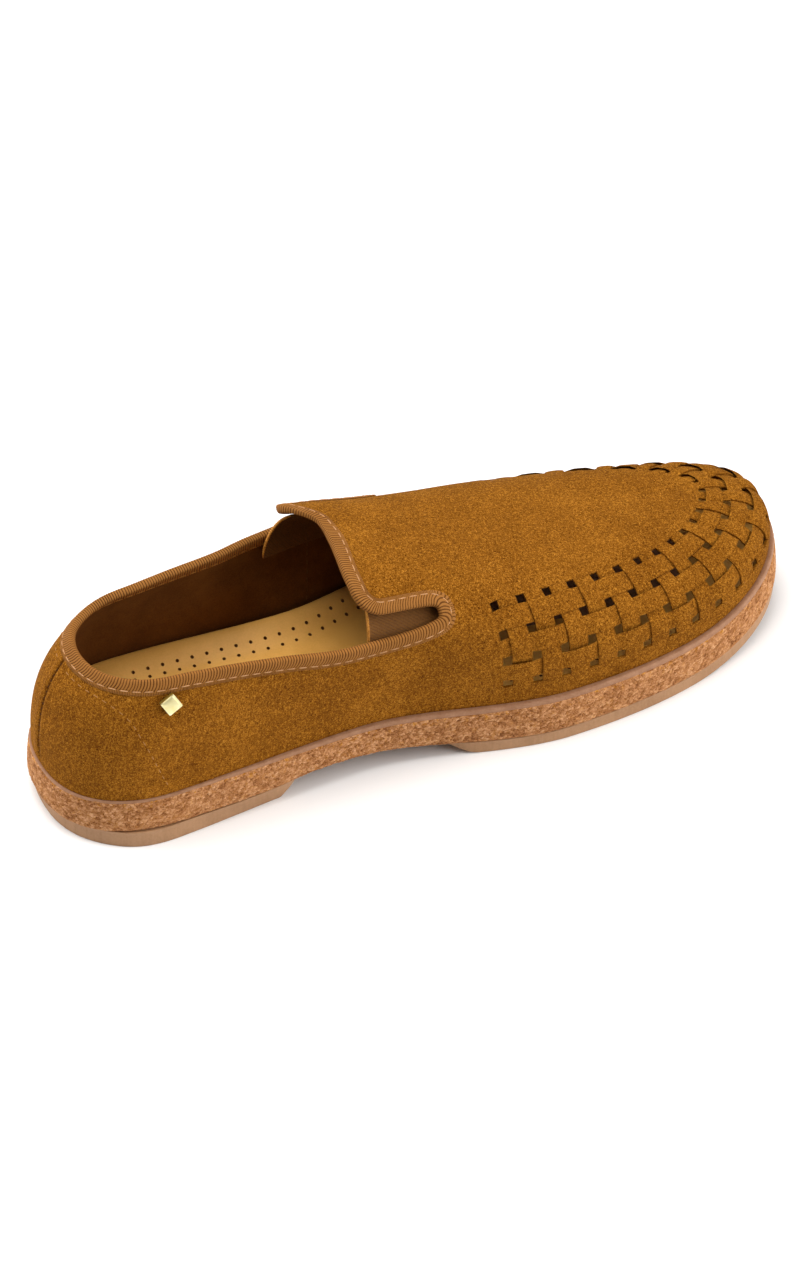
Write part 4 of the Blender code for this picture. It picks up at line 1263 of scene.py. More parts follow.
# the inner leg has every third row of that face, and the row of its edge
INNER_FACE = (*BINDING_FACE[::-3], BINDING_FACE[0])
FOLD_POINTS = 7
RIB_POINTS = 6
RIB_POWER = 0.8
# amount, waves round the edge, start: slow drift of the ribs
RIB_DRIFT = ((0.4, 41, 1.0), (0.3, 97, 2.0))
# turn of the ribs' wave from the fold to the sewn line, and the share of it on the inner leg
RIB_LEAN = 8.0
INNER_LEAN = 0.6
# parts of the girth over which the ribs turn straight, on the tongue
STRAIGHT_FROM = 0.70
STRAIGHT_OVER = 0.12
PLAIN_RELIEF = 0.3
# sewn line: share of the leg, share of the height; below it the ribs are teeth, and the edge is scalloped
SEWN_SHARE = 0.765
SEWN_HEIGHT = 0.68
SEWN_SPARE = 0.02
TEETH = 2.0
SCALLOP = 0.4
SCALLOP_FROM = 0.95
# parts of the girth over which the binding shrinks on the tongue's far side;
# what is left of inner leg and height
SHORT_FROM = 0.76
SHORT_OVER = 0.05
SHORT_LEFT = 0.35
FLAT_LEFT = 0.15
# distance along the edge over which these changes are smoothed
CHANGE_SOFT = 2.4
# back of the binding: clearance from the wall, depth on the inner and on the outer face
BACK_GAP = 0.05
BACK_IN = 1.0
BACK_OUT = 2.5
# half width and half thickness of the binding's thread, dive of a stitch's ends,
# distance between points of its line
BINDING_THREAD = (0.21, 0.17)
BINDING_DIVE = 0.2
SEWN_STEP = 0.5


def soft_change(edge, values):
    return soften(values, round(CHANGE_SOFT / edge.step))


def far_side(edge):
    """Length of the binding's inner leg and its height: less along the tongue's far side."""
    far = soft_change(edge, (edge.lap < 0) * ease((edge.part - SHORT_FROM) / SHORT_OVER))
    return BINDING_IN * (1 - (1 - SHORT_LEFT) * far), BINDING_HIGH * (1 - (1 - FLAT_LEFT) * far)


def make_binding():
    edge = Edge(RIB_PITCH / RIB_POINTS)
    turns = 2 * math.pi * edge.at / edge.length
    phase = turns * round(edge.length / RIB_PITCH)
    for amount, waves, start in RIB_DRIFT:
        phase = phase + amount * np.sin(turns * waves + start)
    inner, high = far_side(edge)
    leaning = RIB_LEAN * (1 - soft_change(edge, ease((edge.part - STRAIGHT_FROM) / STRAIGHT_OVER)))
    columns, reliefs = [], []

    def add(points, rib, share):
        columns.append(points)
        reliefs.append(np.where(share > 0, rib, PLAIN_RELIEF))

    def rib_at(depth):
        """Ribs lean more and more towards the sewn line and run straight below it."""
        lean = leaning * min(depth / SEWN_SHARE, 1.0) ** 2
        times = 1.0 if depth < SEWN_SHARE + SEWN_SPARE else TEETH
        return (0.5 + 0.5 * np.cos(times * (phase + lean))) ** RIB_POWER

    for depth, height, share in BINDING_FACE:
        rib = rib_at(depth)
        scallop = SCALLOP * rib if depth > SCALLOP_FROM else 0.0
        level = height * high - RIB_DEPTH * share * (1 - rib)
        add(edge.leg(depth * BINDING_OUT + scallop, level), rib, share)
    plain = rib_at(0.0)
    middle = -WALL / 2
    tall = (high - middle)[:, None]
    grow = 1 - 0.5 * RIB_DEPTH * (1 - plain)[:, None]
    for turn in np.linspace(0.0, math.pi, FOLD_POINTS)[1:-1]:
        out = edge.normal * tall * math.cos(turn) - edge.into * high[:, None] * math.sin(turn)
        add(edge.near + edge.normal * middle + out * grow, plain, 1.0)
    for depth, height, share in INNER_FACE:
        rib = rib_at(INNER_LEAN * depth)
        level = -WALL - height * high + RIB_DEPTH * share * (1 - rib)
        add(edge.leg(depth * inner, level), rib, share)
    inside, outside = -WALL - BACK_GAP, BACK_GAP
    for depth, height in ((BACK_IN, inside), (0.0, inside), (0.0, outside), (BACK_OUT, outside)):
        add(edge.leg(depth, height), plain, 0.0)
    points = np.stack(columns, axis=1)
    faces = grid_faces(points.shape[0], points.shape[1], close_rows=True, close_columns=True)[:, ::-1]
    # the relief also colours the binding: painted shade in the rib troughs, painted light on the crests
    piece(
        "ribbed_binding", points.reshape(-1, 3), faces, GROSGRAIN, ("topline_binding",),
        values={"relief": np.stack(reliefs, axis=1).ravel()},
    )


def make_binding_stitches():
    """Two sewn lines through the binding: one on its outer leg, one on its inner leg."""
    edge = Edge(SEWN_STEP)
    inner, high = far_side(edge)
    high = SEWN_HEIGHT * high
    for name, depth, height, flip, thread in (
        ("outer", SEWN_SHARE * BINDING_OUT, high, 1.0, PALE_THREAD),
        ("inner", SEWN_SHARE * inner, -WALL - high, -1.0, TAN_THREAD),
    ):
        line = soften(edge.leg(depth, height), 2)
        ring = np.concatenate([line, line[:1]])
        length = running_length(ring)
        whole = length[-1]
        count = round(whole / STITCH_PITCH)
        spread = np.linspace(-0.5, 0.5, STITCH_POINTS) * STITCH_LONG
        at = ((np.arange(count) + 0.5) * whole / count)[:, None] + spread[None, :]

        def along(places, values):
            return np.stack([np.interp(at, places, values[:, k], period=whole) for k in range(3)], axis=-1)

        up = along(length[:-1], edge.normal * flip)
        dive = BINDING_DIVE * (np.abs(spread) / (0.5 * STITCH_LONG)) ** DIVE_POWER
        points, faces = tubes(along(length, ring) - up * dive[None, :, None], up, *BINDING_THREAD)
        piece("binding_stitches_" + name, points, faces, thread)


# Gores

GORE_ROWS = 200
GORE_COLUMNS = 70
GORE_RIB_DEEP = 0.22
GORE_SPARE = 0.1
# rolled edge: half width, half thickness, share of that size, swell of its twists and their length
SELVEDGE_WIDE = 0.65
SELVEDGE_DEEP = 0.75
SELVEDGE_SIZE = 0.75
SELVEDGE_SWELL = 0.12
SELVEDGE_TWIST = 0.9
SELVEDGE_SIDES = 10


def make_gores():
    share = np.linspace(0.0, 1.0, GORE_ROWS)[:, None]
    for name, side in (("lateral", 1), ("medial", -1)):
        foot, top = GORE_REAR[LATERAL if side > 0 else MEDIAL]
        rear = foot + (top - foot) * share ** GORE_CURVE
        lap = side * (rear + (GORE_FRONT - rear) * np.linspace(0.0, 1.0, GORE_COLUMNS)[None, :])
        held = np.clip(lap, -NOTCH_END, NOTCH_END)
        slot = slot_width(held)[1]
        low = wall_top(held) - GORE_BELOW / girth(lap)
        high = wall_top(held) + slot / girth(lap) + GORE_ABOVE / girth(lap)
        part = low + (high - low) * share
        tall = GORE_BELOW + GORE_ABOVE + float(slot_width(side * NOTCH_START)[0])
        rib = 0.5 + 0.5 * np.cos(2 * math.pi * share * tall / GORE_RIB)
        rib = np.broadcast_to(rib, lap.shape)
        points = skin(lap, part, -GORE_DEPTH - GORE_RIB_DEEP * (1 - rib))
        normals = facing(lap, part).reshape(-1, 3)
        faces = grid_faces(GORE_ROWS, GORE_COLUMNS)
        if side > 0:
            faces = faces[:, ::-1]
        sheet, closed = thicken(points.reshape(-1, 3), normals, faces, GORE_THICK - GORE_SPARE)
        # the relief also colours the elastic: painted shade in its rib troughs
        piece(
            f"gore_{name}_elastic", sheet, closed, ELASTIC, (f"gore_{name}",),
            values={"relief": np.tile(rib.ravel(), 2)},
        )
        edge_lap, edge_part = lap[::2, 0], part[::2, 0]
        middle = skin(edge_lap, edge_part, -GORE_DEPTH - GORE_THICK / 2)
        normals = facing(edge_lap, edge_part)
        roll, roll_faces = tubes(middle[None], normals[None], SELVEDGE_WIDE, SELVEDGE_DEEP, SELVEDGE_SIDES)
        turns = 2 * math.pi * np.linspace(0.0, tall / SELVEDGE_TWIST, len(middle))
        twist = SELVEDGE_SIZE + SELVEDGE_SWELL * np.cos(turns)
        centre = np.repeat(middle, SELVEDGE_SIDES, axis=0)
        roll = centre + (roll - centre) * np.repeat(twist, SELVEDGE_SIDES)[:, None]
        piece(f"gore_{name}_selvedge", roll, roll_faces, SELVEDGE)


# Sole

# millimetres between the points round the sole: smooth pieces, rough band
SOLE_STEP = 0.8
BAND_STEP = 0.33
LAP_POINTS = 4000


def sole_laps(step):
    """Laps at even steps of the outline's length, round the whole sole."""
    laps = np.linspace(-LENGTH, LENGTH, LAP_POINTS)[1:-1]
    count = int(LOOP_LENGTH / step)
    at = LOOP_ARC[0] + (np.arange(count) + 0.5) * LOOP_LENGTH / count
    return np.interp(at, lap_arc(laps), laps), at


# fewest and most waves round the sole, range of their starts
WAVE_TURNS = (6, 90)
WAVE_STARTS = (0, 6.28)


def noise_wave(values, seed, count=9):
    """Smooth irregular numbers between about -1 and 1, periodic round the sole."""
    rng = np.random.default_rng(seed)
    total = 0.0
    for _ in range(count):
        turns = rng.integers(*WAVE_TURNS)
        total = total + np.sin(2 * math.pi * turns * values / LOOP_LENGTH + rng.uniform(*WAVE_STARTS))
    return total / math.sqrt(count)


NUB_LONG = 1.4
NUB_TALL = 0.95
NUB_DEEP = 0.45
NUB_JITTER = 0.7
# climb of the nubs' rows, distance from the heel back where it starts, sway of the rows
NUB_LEAN = 0.2
LEAN_ARC = 55.0
NUB_SWAY = 0.25
# width of a nub's round side, sharpness of the furrow, lowest depth of a furrow, height by tone
NUB_ROUND = 0.42
NUB_POWER = 1.6
FURROW_LEAST = 0.3
NUB_BASE = 0.78
NUB_TONE = 0.3
# width of a crevice's painted shade, depth from which it shows, depth over which it turns dark
CREVICE_WIDE = 0.2
CREVICE_FROM = 0.35
CREVICE_OVER = 0.6
# height of the lighter rows at the top, and how light the others are
TOP_ROW = 3.0
TOP_LEAST = 0.35
BAND_ROWS = 46
BAND_BACK = -1.9
# band's lower and upper edge: lift, waver
BAND_FOOT = (0.08, 0.1)
BAND_HEAD = (0.35, 0.16)
# shares of the height over which the nubs fade at the lower and the upper edge, and how deep they sit
HEM_LOW = 0.04
HEM_HIGH = 0.05
NUB_SINK = 0.8
# share of the band's height, offset from the outline
BAND_SIDE = ((0.0, -0.45), (0.06, -0.1), (0.35, 0.0), (1.0, -0.8))
# offset from the outline, share of the lip's height over the band
LIP_SIDE = (
    (-1.75, -0.2), (-1.25, 0.02), (-1.03, 0.16), (-1.0, 0.35),
    (-1.08, 0.7), (-1.2, 0.88), (-1.45, 0.97), (-1.8, 1.0),
)
# how far the lip reaches down behind the band, its inner edge's round, and reach of the floor under the foot
LIP_DOWN = 0.5
LIP_ROUND = 0.2
BASE_IN = 1.0
PLATE_IN = 6.0
# directions of the steady scatter
SCATTER = (12.9898, 78.233, 37.719)
SCATTER_SCALE = 43758.5453
PAIR_SCALE = 997.0
FAR_AWAY = 9.0
# seeds of the rows' sway and of the band's two edges, range of the lower one's waver
SWAY_SEED = 3
FOOT_SEED = 17
HEAD_SEED = 11
FOOT_RANGE = (-1.0, 2.0)


def scatter(i, j, seed):
    """Steady random numbers from 0 to 1 for whole-numbered places."""
    mixed = np.sin(i * SCATTER[0] + j * SCATTER[1] + seed * SCATTER[2]) * SCATTER_SCALE
    return mixed - np.floor(mixed)


def nubs(arc, level):
    """Rough side of the band, irregular nubs in leaning rows: height, tone and painted shade in the crevices.
    """
    count = round(LOOP_LENGTH / NUB_LONG)
    along = arc / LOOP_LENGTH * count
    climb = NUB_LEAN * np.clip(np.abs(arc) - LEAN_ARC, 0.0, None)
    up = (level - climb + NUB_SWAY * noise_wave(arc, SWAY_SEED)) / NUB_TALL
    i0, j0 = np.floor(along), np.floor(up)
    first, second = np.full(arc.shape, FAR_AWAY), np.full(arc.shape, FAR_AWAY)
    tone, mark, pair = np.zeros(arc.shape), np.zeros(arc.shape), np.zeros(arc.shape)
    for dj in (-1, 0, 1):
        j = j0 + dj
        for di in (-2, -1, 0, 1):
            i = (i0 + di) % count
            x = i0 + di + 0.5 * (j % 2) + 0.5 + NUB_JITTER * (scatter(i, j, 1) - 0.5)
            y = j + 0.5 + NUB_JITTER * (scatter(i, j, 2) - 0.5)
            away = np.hypot(along - x, up - y)
            nearest = away < first
            here = scatter(i, j, 3)
            pair = np.where(nearest, mark, np.where(away < second, here, pair))
            second = np.where(nearest, first, np.minimum(second, away))
            mark = np.where(nearest, here, mark)
            tone = np.where(nearest, scatter(i, j, 4), tone)
            first = np.where(nearest, away, first)
    gap = second - first
    deep = FURROW_LEAST + (1 - FURROW_LEAST) * scatter(np.round((mark + pair) * PAIR_SCALE), 0.0, 5)
    nub = 1 - deep * (1 - np.clip(gap / NUB_ROUND, 0.0, 1.0)) ** NUB_POWER
    height = NUB_DEEP * nub * (NUB_BASE + NUB_TONE * tone)
    # painted shade in the furrows: only deep furrows turn dark, and only near the line between two nubs
    dark = np.clip((deep - CREVICE_FROM) / CREVICE_OVER, 0.0, 1.0)
    return height, tone, dark * (1 - np.clip(gap / CREVICE_WIDE, 0.0, 1.0))


def rings(laps, rows):
    """Loops round the sole, one for each offset from the outline and height."""
    lines = []
    for offset, height in rows:
        flat, _ = plan(laps, offset)
        lines.append(np.column_stack([flat, np.broadcast_to(height, laps.shape)]))
    return np.stack(lines, axis=1)


def capped(points):
    """Faces of stacked loops, closed across the first and the last loop."""
    count, size = points.shape[:2]
    faces = [*grid_faces(count, size, close_rows=True)]
    return [*faces, np.arange(count)[::-1] * size, np.arange(count) * size + size - 1]


def make_midsole():
    laps, _ = sole_laps(SOLE_STEP)
    edge_x = plan(laps, 0.0)[0][:, 0]
    bottom, shoulder, top = band_bottom(edge_x), band_top(edge_x), lip(edge_x)
    inner = foot_inset(edge_x) + WALL + RIM_SPARE
    plate = top - PLATE_DROP
    rows = [(-inner - BASE_IN, bottom), (BAND_BACK, bottom), (BAND_BACK, shoulder - LIP_DOWN)]
    rows += [(offset, shoulder + share * (top - shoulder)) for offset, share in LIP_SIDE]
    rows += [(-inner + LIP_ROUND, top), (-inner, top - LIP_ROUND)]
    rows += [(-inner, plate), (-inner - PLATE_IN, plate)]
    points = rings(laps, rows)
    piece("midsole_body", points.reshape(-1, 3), capped(points), LIP, ("midsole",), sharp=80.0)


def make_band():
    """Rough, rope-like side of the band."""
    laps, arc = sole_laps(BAND_STEP)
    edge_x = plan(laps, 0.0)[0][:, 0]
    waver = np.clip(noise_wave(arc, FOOT_SEED), *FOOT_RANGE)
    bottom = band_bottom(edge_x) + BAND_FOOT[0] + BAND_FOOT[1] * waver
    shoulder = band_top(edge_x) + BAND_HEAD[0] + BAND_HEAD[1] * noise_wave(arc, HEAD_SEED)
    tall = shoulder - bottom
    shares = np.linspace(0.0, 1.0, BAND_ROWS)
    level = shares[None, :] * tall[:, None]
    height, tone, crevice = nubs(np.broadcast_to(arc[:, None], level.shape), level)
    hem = ease(shares / HEM_LOW) * ease((1 - shares) / HEM_HIGH)
    side = table(BAND_SIDE, 1, shares) - NUB_SINK * NUB_DEEP
    rows = [(BAND_BACK, bottom)]
    rows += [(side[k] + height[:, k] * hem[k], bottom + level[:, k]) for k in range(BAND_ROWS)]
    rows.append((BAND_BACK, shoulder))
    points = rings(laps, rows)
    faces = grid_faces(len(laps), len(rows), close_rows=True)
    top_row = np.clip(TOP_LEAST + (level - tall[:, None] + TOP_ROW) / TOP_ROW, TOP_LEAST, 1.0)

    def with_ends(numbers, end):
        """Numbers of the rough side with a value for the hidden loops below and above it."""
        return np.pad(numbers, ((0, 0), (1, 1)), constant_values=end).ravel()

    # crevice carries painted shade between the nubs, and full painted shade on the hidden loops
    piece(
        "rope_band", points.reshape(-1, 3), faces, BAND, sharp=80.0,
        values={
            "tone": with_ends(tone, 0.5),
            "crevice": with_ends(crevice, 1.0),
            "top_row": with_ends(top_row, 0.0),
        },
    )


# share of the tread's side from its foot up, swell over its straight slant
TREAD_SIDE = ((0.2, 0.04), (0.45, 0.05), (0.7, 0.03), (0.84, 0.0), (0.9, 0.12), (0.95, 0.16), (1.0, 0.08))
TREAD_ROUND = 0.35
TREAD_ROUND_SHARE = 0.3
ROUND_POINTS = 5
BAND_GAP = 0.1
# width of the tread's plain rim, step down from it, hidden reach of its top
RIM_WIDE = 3.9
RIM_STEP = 0.6
TOP_IN = 4.0
# cross grooves of the underside: points across, depth, pitch, sway and its length, depth of the field
TREAD_ACROSS = 24
GROOVE_DEEP = 0.25
GROOVE_PITCH = 3.2
GROOVE_SWAY = 1.2
SWAY_LONG = 9.0
FIELD_DEEP = 0.35
# stretch of the arch without grooves, and the distance over which they fade
PLAIN_ARCH = (70.0, 150.0)
GROOVE_FADE = 8.0


def make_outsole():
    laps, _ = sole_laps(SOLE_STEP)
    edge_x = plan(laps, 0.0)[0][:, 0]
    low, high = tread_bottom(edge_x), band_bottom(edge_x) - BAND_GAP
    foot, upper = -tread_inset(edge_x), -tread_inset(edge_x, 2)
    thick = high - low
    round_high = np.minimum(TREAD_ROUND, TREAD_ROUND_SHARE * thick)
    rows = [(foot - RIM_WIDE - RIM_STEP, low + round_high), (foot - RIM_WIDE, low), (foot - TREAD_ROUND, low)]
    for turn in np.linspace(0.0, math.pi / 2, ROUND_POINTS)[1:]:
        rows.append((foot - TREAD_ROUND * (1 - math.sin(turn)), low + round_high * (1 - math.cos(turn))))
    for share, swell in TREAD_SIDE:
        rows.append((foot + (upper - foot) * share + swell, low + round_high + (thick - round_high) * share))
    rows.append((foot - TOP_IN, high))
    points = rings(laps, rows)
    count, size = points.shape[:2]
    faces = [*grid_faces(count, size, close_rows=True), np.arange(count) * size + size - 1]
    field, field_faces = tread_face(points[:, 0], np.arange(count) * size, count * size)
    every = np.concatenate([points.reshape(-1, 3), field])
    piece("gum_outsole", every, faces + field_faces, GUM, ("outsole",), sharp=45.0)


def tread_face(edge, edge_ids, first_id):
    """Underside across the sole inside its edge, with fine cross grooves."""
    half = len(edge) // 2
    share = (np.arange(1, TREAD_ACROSS) / TREAD_ACROSS)[None, :, None]
    points = (edge[:half, None] * (1 - share) + edge[::-1][:half, None] * share).reshape(-1, 3)
    x, y = points[:, 0], points[:, 1]
    sway = GROOVE_SWAY * np.cos(2 * math.pi * y / SWAY_LONG)
    groove = GROOVE_DEEP * (1 + np.cos(2 * math.pi * (x + sway) / GROOVE_PITCH))
    rear, front = (ease((x - start) / GROOVE_FADE) for start in PLAIN_ARCH)
    points[:, 2] = np.maximum(points[:, 2] - FIELD_DEEP, tread_bottom(x)) + groove * (1 - rear * (1 - front))
    inner = first_id + np.arange(len(points)).reshape(half, -1)
    rows = np.column_stack([edge_ids[:half], inner, edge_ids[::-1][:half]])
    faces = np.stack([rows[:-1, :-1], rows[:-1, 1:], rows[1:, 1:], rows[1:, :-1]], axis=-1).reshape(-1, 4)
    return points, [*faces, rows[0, ::-1], rows[-1]]


# Footbed

INSOLE_ROUND = 0.9
INSOLE_CUP = 15.0
CUP_POWER = 1.35
# distance inside the footbed's edge, drop of its rounded edge
INSOLE_FACE = (
    (0.0, 1.0), (0.05, 0.6), (0.25, 0.25), (0.6, 0.07),
    *((depth, 0.0) for depth in (1.2, 2.2, 3.6, 5.2, 7.0, 9.0, 11.0, 13.0, 15.0, 17.0)),
)
# points along the heel, the middle and the toe, and across the middle
INSOLE_POINTS = (50, 150, 70)
BRIDGE_POINTS = 14


def insole_height(x, side, depth):
    """Height of the cupped footbed at a distance inside its edge."""
    edge, middle = table(INSOLE_RISE, 1 if side > 0 else 2, x), table(INSOLE_RISE, 3, x)
    cup = 1 - ease((depth - INSOLE_ROUND) / INSOLE_CUP)
    return lip(x) + middle + (edge - middle) * cup ** CUP_POWER


def make_insole():
    ends = (0.0, HEEL_CENTRE, TOE_START, LENGTH)
    marks = np.unique(np.concatenate([
        np.linspace(start, end, count) for start, end, count in zip(ends, ends[1:], INSOLE_POINTS)
    ]))
    sides = []
    for side in (1, -1):
        edge_x = plan(side * marks, 0.0)[0][:, 0]
        inset = insole_inset(edge_x)
        rows = [(-inset - GAP, lip(edge_x) - PLATE_DROP + GAP)]
        for depth, drop in INSOLE_FACE:
            rows.append((-inset - depth, insole_height(edge_x, side, max(depth, INSOLE_ROUND)) - drop))
        sides.append(rings(side * marks, rows))
    outer, inner = sides
    bridge = np.linspace(0.0, 1.0, BRIDGE_POINTS)[1:-1]
    middle = outer[:, -1:] * (1 - bridge)[None, :, None] + inner[:, -1:] * bridge[None, :, None]
    rows = np.concatenate([outer, middle, inner[:, ::-1]], axis=1)
    count, size = rows.shape[:2]
    points, faces = weld(rows.reshape(-1, 3), grid_faces(count, size, close_columns=True))
    body = piece("leather_insole", points, faces, INSOLE, ("insole",), sharp=35.0)
    pierce(body)


# side of the lap, column of HOLE_INSET, first station
HOLE_ROWS = ((1, 1, 47.2), (1, 2, 46.7), (-1, 3, 47.2), (-1, 4, 46.7))
HOLE_PITCH = 5.5
HOLE_RADIUS = 0.64
HOLE_FRONT = 236.0
HOLE_DEEP = 1.8
CUTTER_HIGH = 1.5
HOLE_SIDES = 14
# station, distance of each row inside the outline: two of the outer side, two of the inner side
HOLE_INSET = (
    (40.0, 11.0, 16.8, 12.4, 15.2),
    (80.0, 11.0, 16.8, 12.8, 16.4),
    (108.0, 11.0, 16.8, 12.5, 16.6),
    (124.0, 11.0, 16.8, 10.4, 14.6),
    (140.0, 11.0, 16.8, 9.0, 13.4),
    (170.0, 11.0, 16.8, 8.6, 13.8),
    (236.0, 11.0, 16.8, 11.0, 16.8),
)


def pierce(body):
    """Two staggered rows of holes along each side of the footbed."""
    spots = []
    for side, column, first in HOLE_ROWS:
        fine = np.linspace(first, HOLE_FRONT, FINE_STEPS)
        length = running_length(plan(side * fine, -table(HOLE_INSET, column, fine))[0])
        marks = np.interp(np.arange(0.0, length[-1], HOLE_PITCH), length, fine)
        depth = table(HOLE_INSET, column, marks)
        flat, _ = plan(side * marks, -depth)
        edge_x = plan(side * marks, 0.0)[0][:, 0]
        spots.append(np.column_stack([flat, insole_height(edge_x, side, depth - insole_inset(edge_x))]))
    spots = np.concatenate(spots)
    turn = np.linspace(0, 2 * math.pi, HOLE_SIDES, endpoint=False)
    circle = np.column_stack([np.cos(turn), np.sin(turn), np.zeros(HOLE_SIDES)]) * HOLE_RADIUS
    down = np.array([0.0, 0.0, -HOLE_DEEP])
    up = np.array([0.0, 0.0, CUTTER_HIGH])
    loops = np.concatenate([spots[:, None] + circle + down, spots[:, None] + circle + up], axis=1)
    low = np.arange(HOLE_SIDES)
    after = np.roll(low, -1)
    one = [*np.column_stack([low, after, after + HOLE_SIDES, low + HOLE_SIDES]), low[::-1], low + HOLE_SIDES]
    faces = [(face + 2 * HOLE_SIDES * k).tolist() for k in range(len(spots)) for face in one]
    mesh = bpy.data.meshes.new("hole_cutters")
    mesh.from_pydata(place(loops.reshape(-1, 3)), [], faces)
    # the holes' walls and floors take this painted shade
    mesh.materials.append(HOLE_SHADE)
    cutter = bpy.data.objects.new("hole_cutters", mesh)
    bpy.context.scene.collection.objects.link(cutter)
    cut = body.modifiers.new("holes", "BOOLEAN")
    cut.operation = "DIFFERENCE"
    cut.solver = "EXACT"
    cut.material_mode = "TRANSFER"
    cut.object = cutter
    bpy.context.view_layer.update()
    pierced = bpy.data.meshes.new_from_object(body.evaluated_get(bpy.context.evaluated_depsgraph_get()))
    body.modifiers.clear()
    body.data = pierced
    pierced.name = "leather_insole"
    bpy.data.objects.remove(cutter, do_unlink=True)


# Metal

def surface_frame(lap, height):
    """Place on the upper with its outward normal and two directions along it."""
    lap = np.array([lap])
    part = part_at_height(lap, height)
    at, n = skin(lap, part)[0], facing(lap, part)[0]
    across = unit(np.cross(np.array([0.0, 0.0, 1.0]), n))
    return at, n, across, np.cross(n, across)


def turned(at, n, first, second, profile, outline):
    """Loops of an outline at the radius and height of each profile row, closed at both ends."""
    points = []
    for radius, height in profile:
        points.append(at + (first * outline[:, :1] + second * outline[:, 1:]) * radius + n * height)
    count, size = len(profile), len(outline)
    faces = [*grid_faces(count, size, close_columns=True)[:, ::-1]]
    faces.append(np.arange(size)[::-1])
    faces.append(np.arange(size) + (count - 1) * size)
    return np.concatenate(points), faces


BADGE_POINTS = 96
# power of the badge's rounded square, what its block adds to the plate's thickness
BADGE_POWER = 2 / 14
BADGE_SEAT = 0.3
# block: bevel of its foot; inset from the sides, drop below the top; radius and drop of its middle
BLOCK_FOOT = 0.15
BLOCK_EDGE = ((0.0, 0.30), (0.12, 0.12))
BLOCK_MIDDLE = (0.2, 0.5)
# plate: inset from the sides, drop below the top
PLATE_EDGE = (
    (0.30, 0.45), (0.07, 0.20), (0.07, 0.06), (0.14, 0.0), (0.42, 0.0),
    (0.50, 0.10), (0.62, 0.12), (0.72, 0.03), (0.80, 0.02),
)
# radius, drop below the top
PLATE_MIDDLE = ((0.5, 0.02), (0.2, 0.02))
FASTENER_POINTS = 64
# distance of the fastener's back from the wall, what its face adds to its thickness
FASTENER_GAP = 0.2
FASTENER_SEAT = 0.3
# radius, height over the lowest point of the fastener's face
FASTENER_BOSS = ((0.3, 0.25), (1.2, 0.22), (1.5, 0.05), (2.1, 0.0), (2.4, 0.12), (2.6, 0.35), (2.8, 0.38))
# inset from its rim, the same height; then inset and depth below its back
FASTENER_RIM = ((0.85, 0.30), (0.55, 0.22), (0.2, 0.34), (0.0, 0.62))
FASTENER_BACK = ((0.0, 0.12), (0.15, 0.0))


def make_badge():
    at, n, across, up = surface_frame(BADGE_STATION, BADGE_HEIGHT)
    turn = math.radians(BADGE_TURN)
    first = across * math.cos(turn) + up * math.sin(turn)
    second = np.cross(n, first)
    a = np.linspace(0, 2 * math.pi, BADGE_POINTS, endpoint=False)
    circle = np.column_stack([np.cos(a), np.sin(a)])
    square = np.sign(circle) * np.abs(circle) ** BADGE_POWER
    half, low = BADGE_SIDE / 2, GAP
    high = GAP + BADGE_SEAT + BADGE_THICK
    block = [(half - BLOCK_FOOT, low), (half, low + BLOCK_FOOT)]
    block += [(half - inset, high - drop) for inset, drop in BLOCK_EDGE]
    block.append((BLOCK_MIDDLE[0], high - BLOCK_MIDDLE[1]))
    plate = [(half - inset, high - drop) for inset, drop in PLATE_EDGE]
    plate += [(radius, high - drop) for radius, drop in PLATE_MIDDLE]
    # the block's sides get brass darkened with painted shade; the face gets the polished brass
    for name, profile, metal, replaced in (
        ("badge_block", block, SHADED_SIDE_BRASS, ("badge",)),
        ("badge_face", plate, BRASS, ()),
    ):
        points, faces = turned(at, n, first, second, profile, square)
        piece(name, points, faces, metal, replaced, sharp=40.0)


def make_fastener():
    """Round fastener of the badge on the inside."""
    at, n, across, up = surface_frame(BADGE_STATION, BADGE_HEIGHT)
    a = np.linspace(0, 2 * math.pi, FASTENER_POINTS, endpoint=False)
    circle = np.column_stack([np.cos(a), np.sin(a)])
    back = -WALL - FASTENER_GAP
    face = back - FASTENER_SEAT - CLUTCH_THICK
    profile = [(radius, face + height) for radius, height in FASTENER_BOSS]
    profile += [(CLUTCH_RADIUS - inset, face + height) for inset, height in FASTENER_RIM]
    profile += [(CLUTCH_RADIUS - inset, back - depth) for inset, depth in FASTENER_BACK]
    points, faces = turned(at, n, across, up, profile, circle)
    piece("badge_fastener", points, faces, BRASS, ("badge_clutch",), sharp=40.0)


# Sewing

# stitches: height over the suede, pitch, length, radius, dive of the ends
COUNTER_STITCH = (0.07, 3.4, 2.2, 0.15, 0.25)
LINING_STITCH = (-WALL - 0.08, 3.6, 2.5, 0.2, -0.2)
HEEL_STITCH = (-0.45, 2.3, 1.3, 0.26, 0.15)
# points of the sewn lines, and over how many the counter's line is rounded
COUNTER_POINTS = 120
COUNTER_SOFT = 19
LINING_POINTS = 60
HEEL_POINTS = 80
# laps and heights of the ends of the lining's seam
LINING_LAPS = (116.0, 120.0)
LINING_HEIGHTS = (24.0, 57.0)
# distance of the stitches from the heel seam, heights of its ends
HEEL_AWAY = 0.45
HEEL_HEIGHTS = (24.0, 63.0)


def counter_line():
    """Laps and heights of the counter's sewn line, with rounded corners."""
    line = np.array(COUNTER_LINE)
    length = running_length(line)
    at = np.linspace(0.0, length[-1], COUNTER_POINTS)
    soft = np.ones(COUNTER_SOFT) / COUNTER_SOFT
    columns = (np.pad(np.interp(at, length, column), COUNTER_SOFT // 2, mode="edge") for column in line.T)
    return [np.convolve(column, soft, mode="valid") for column in columns]


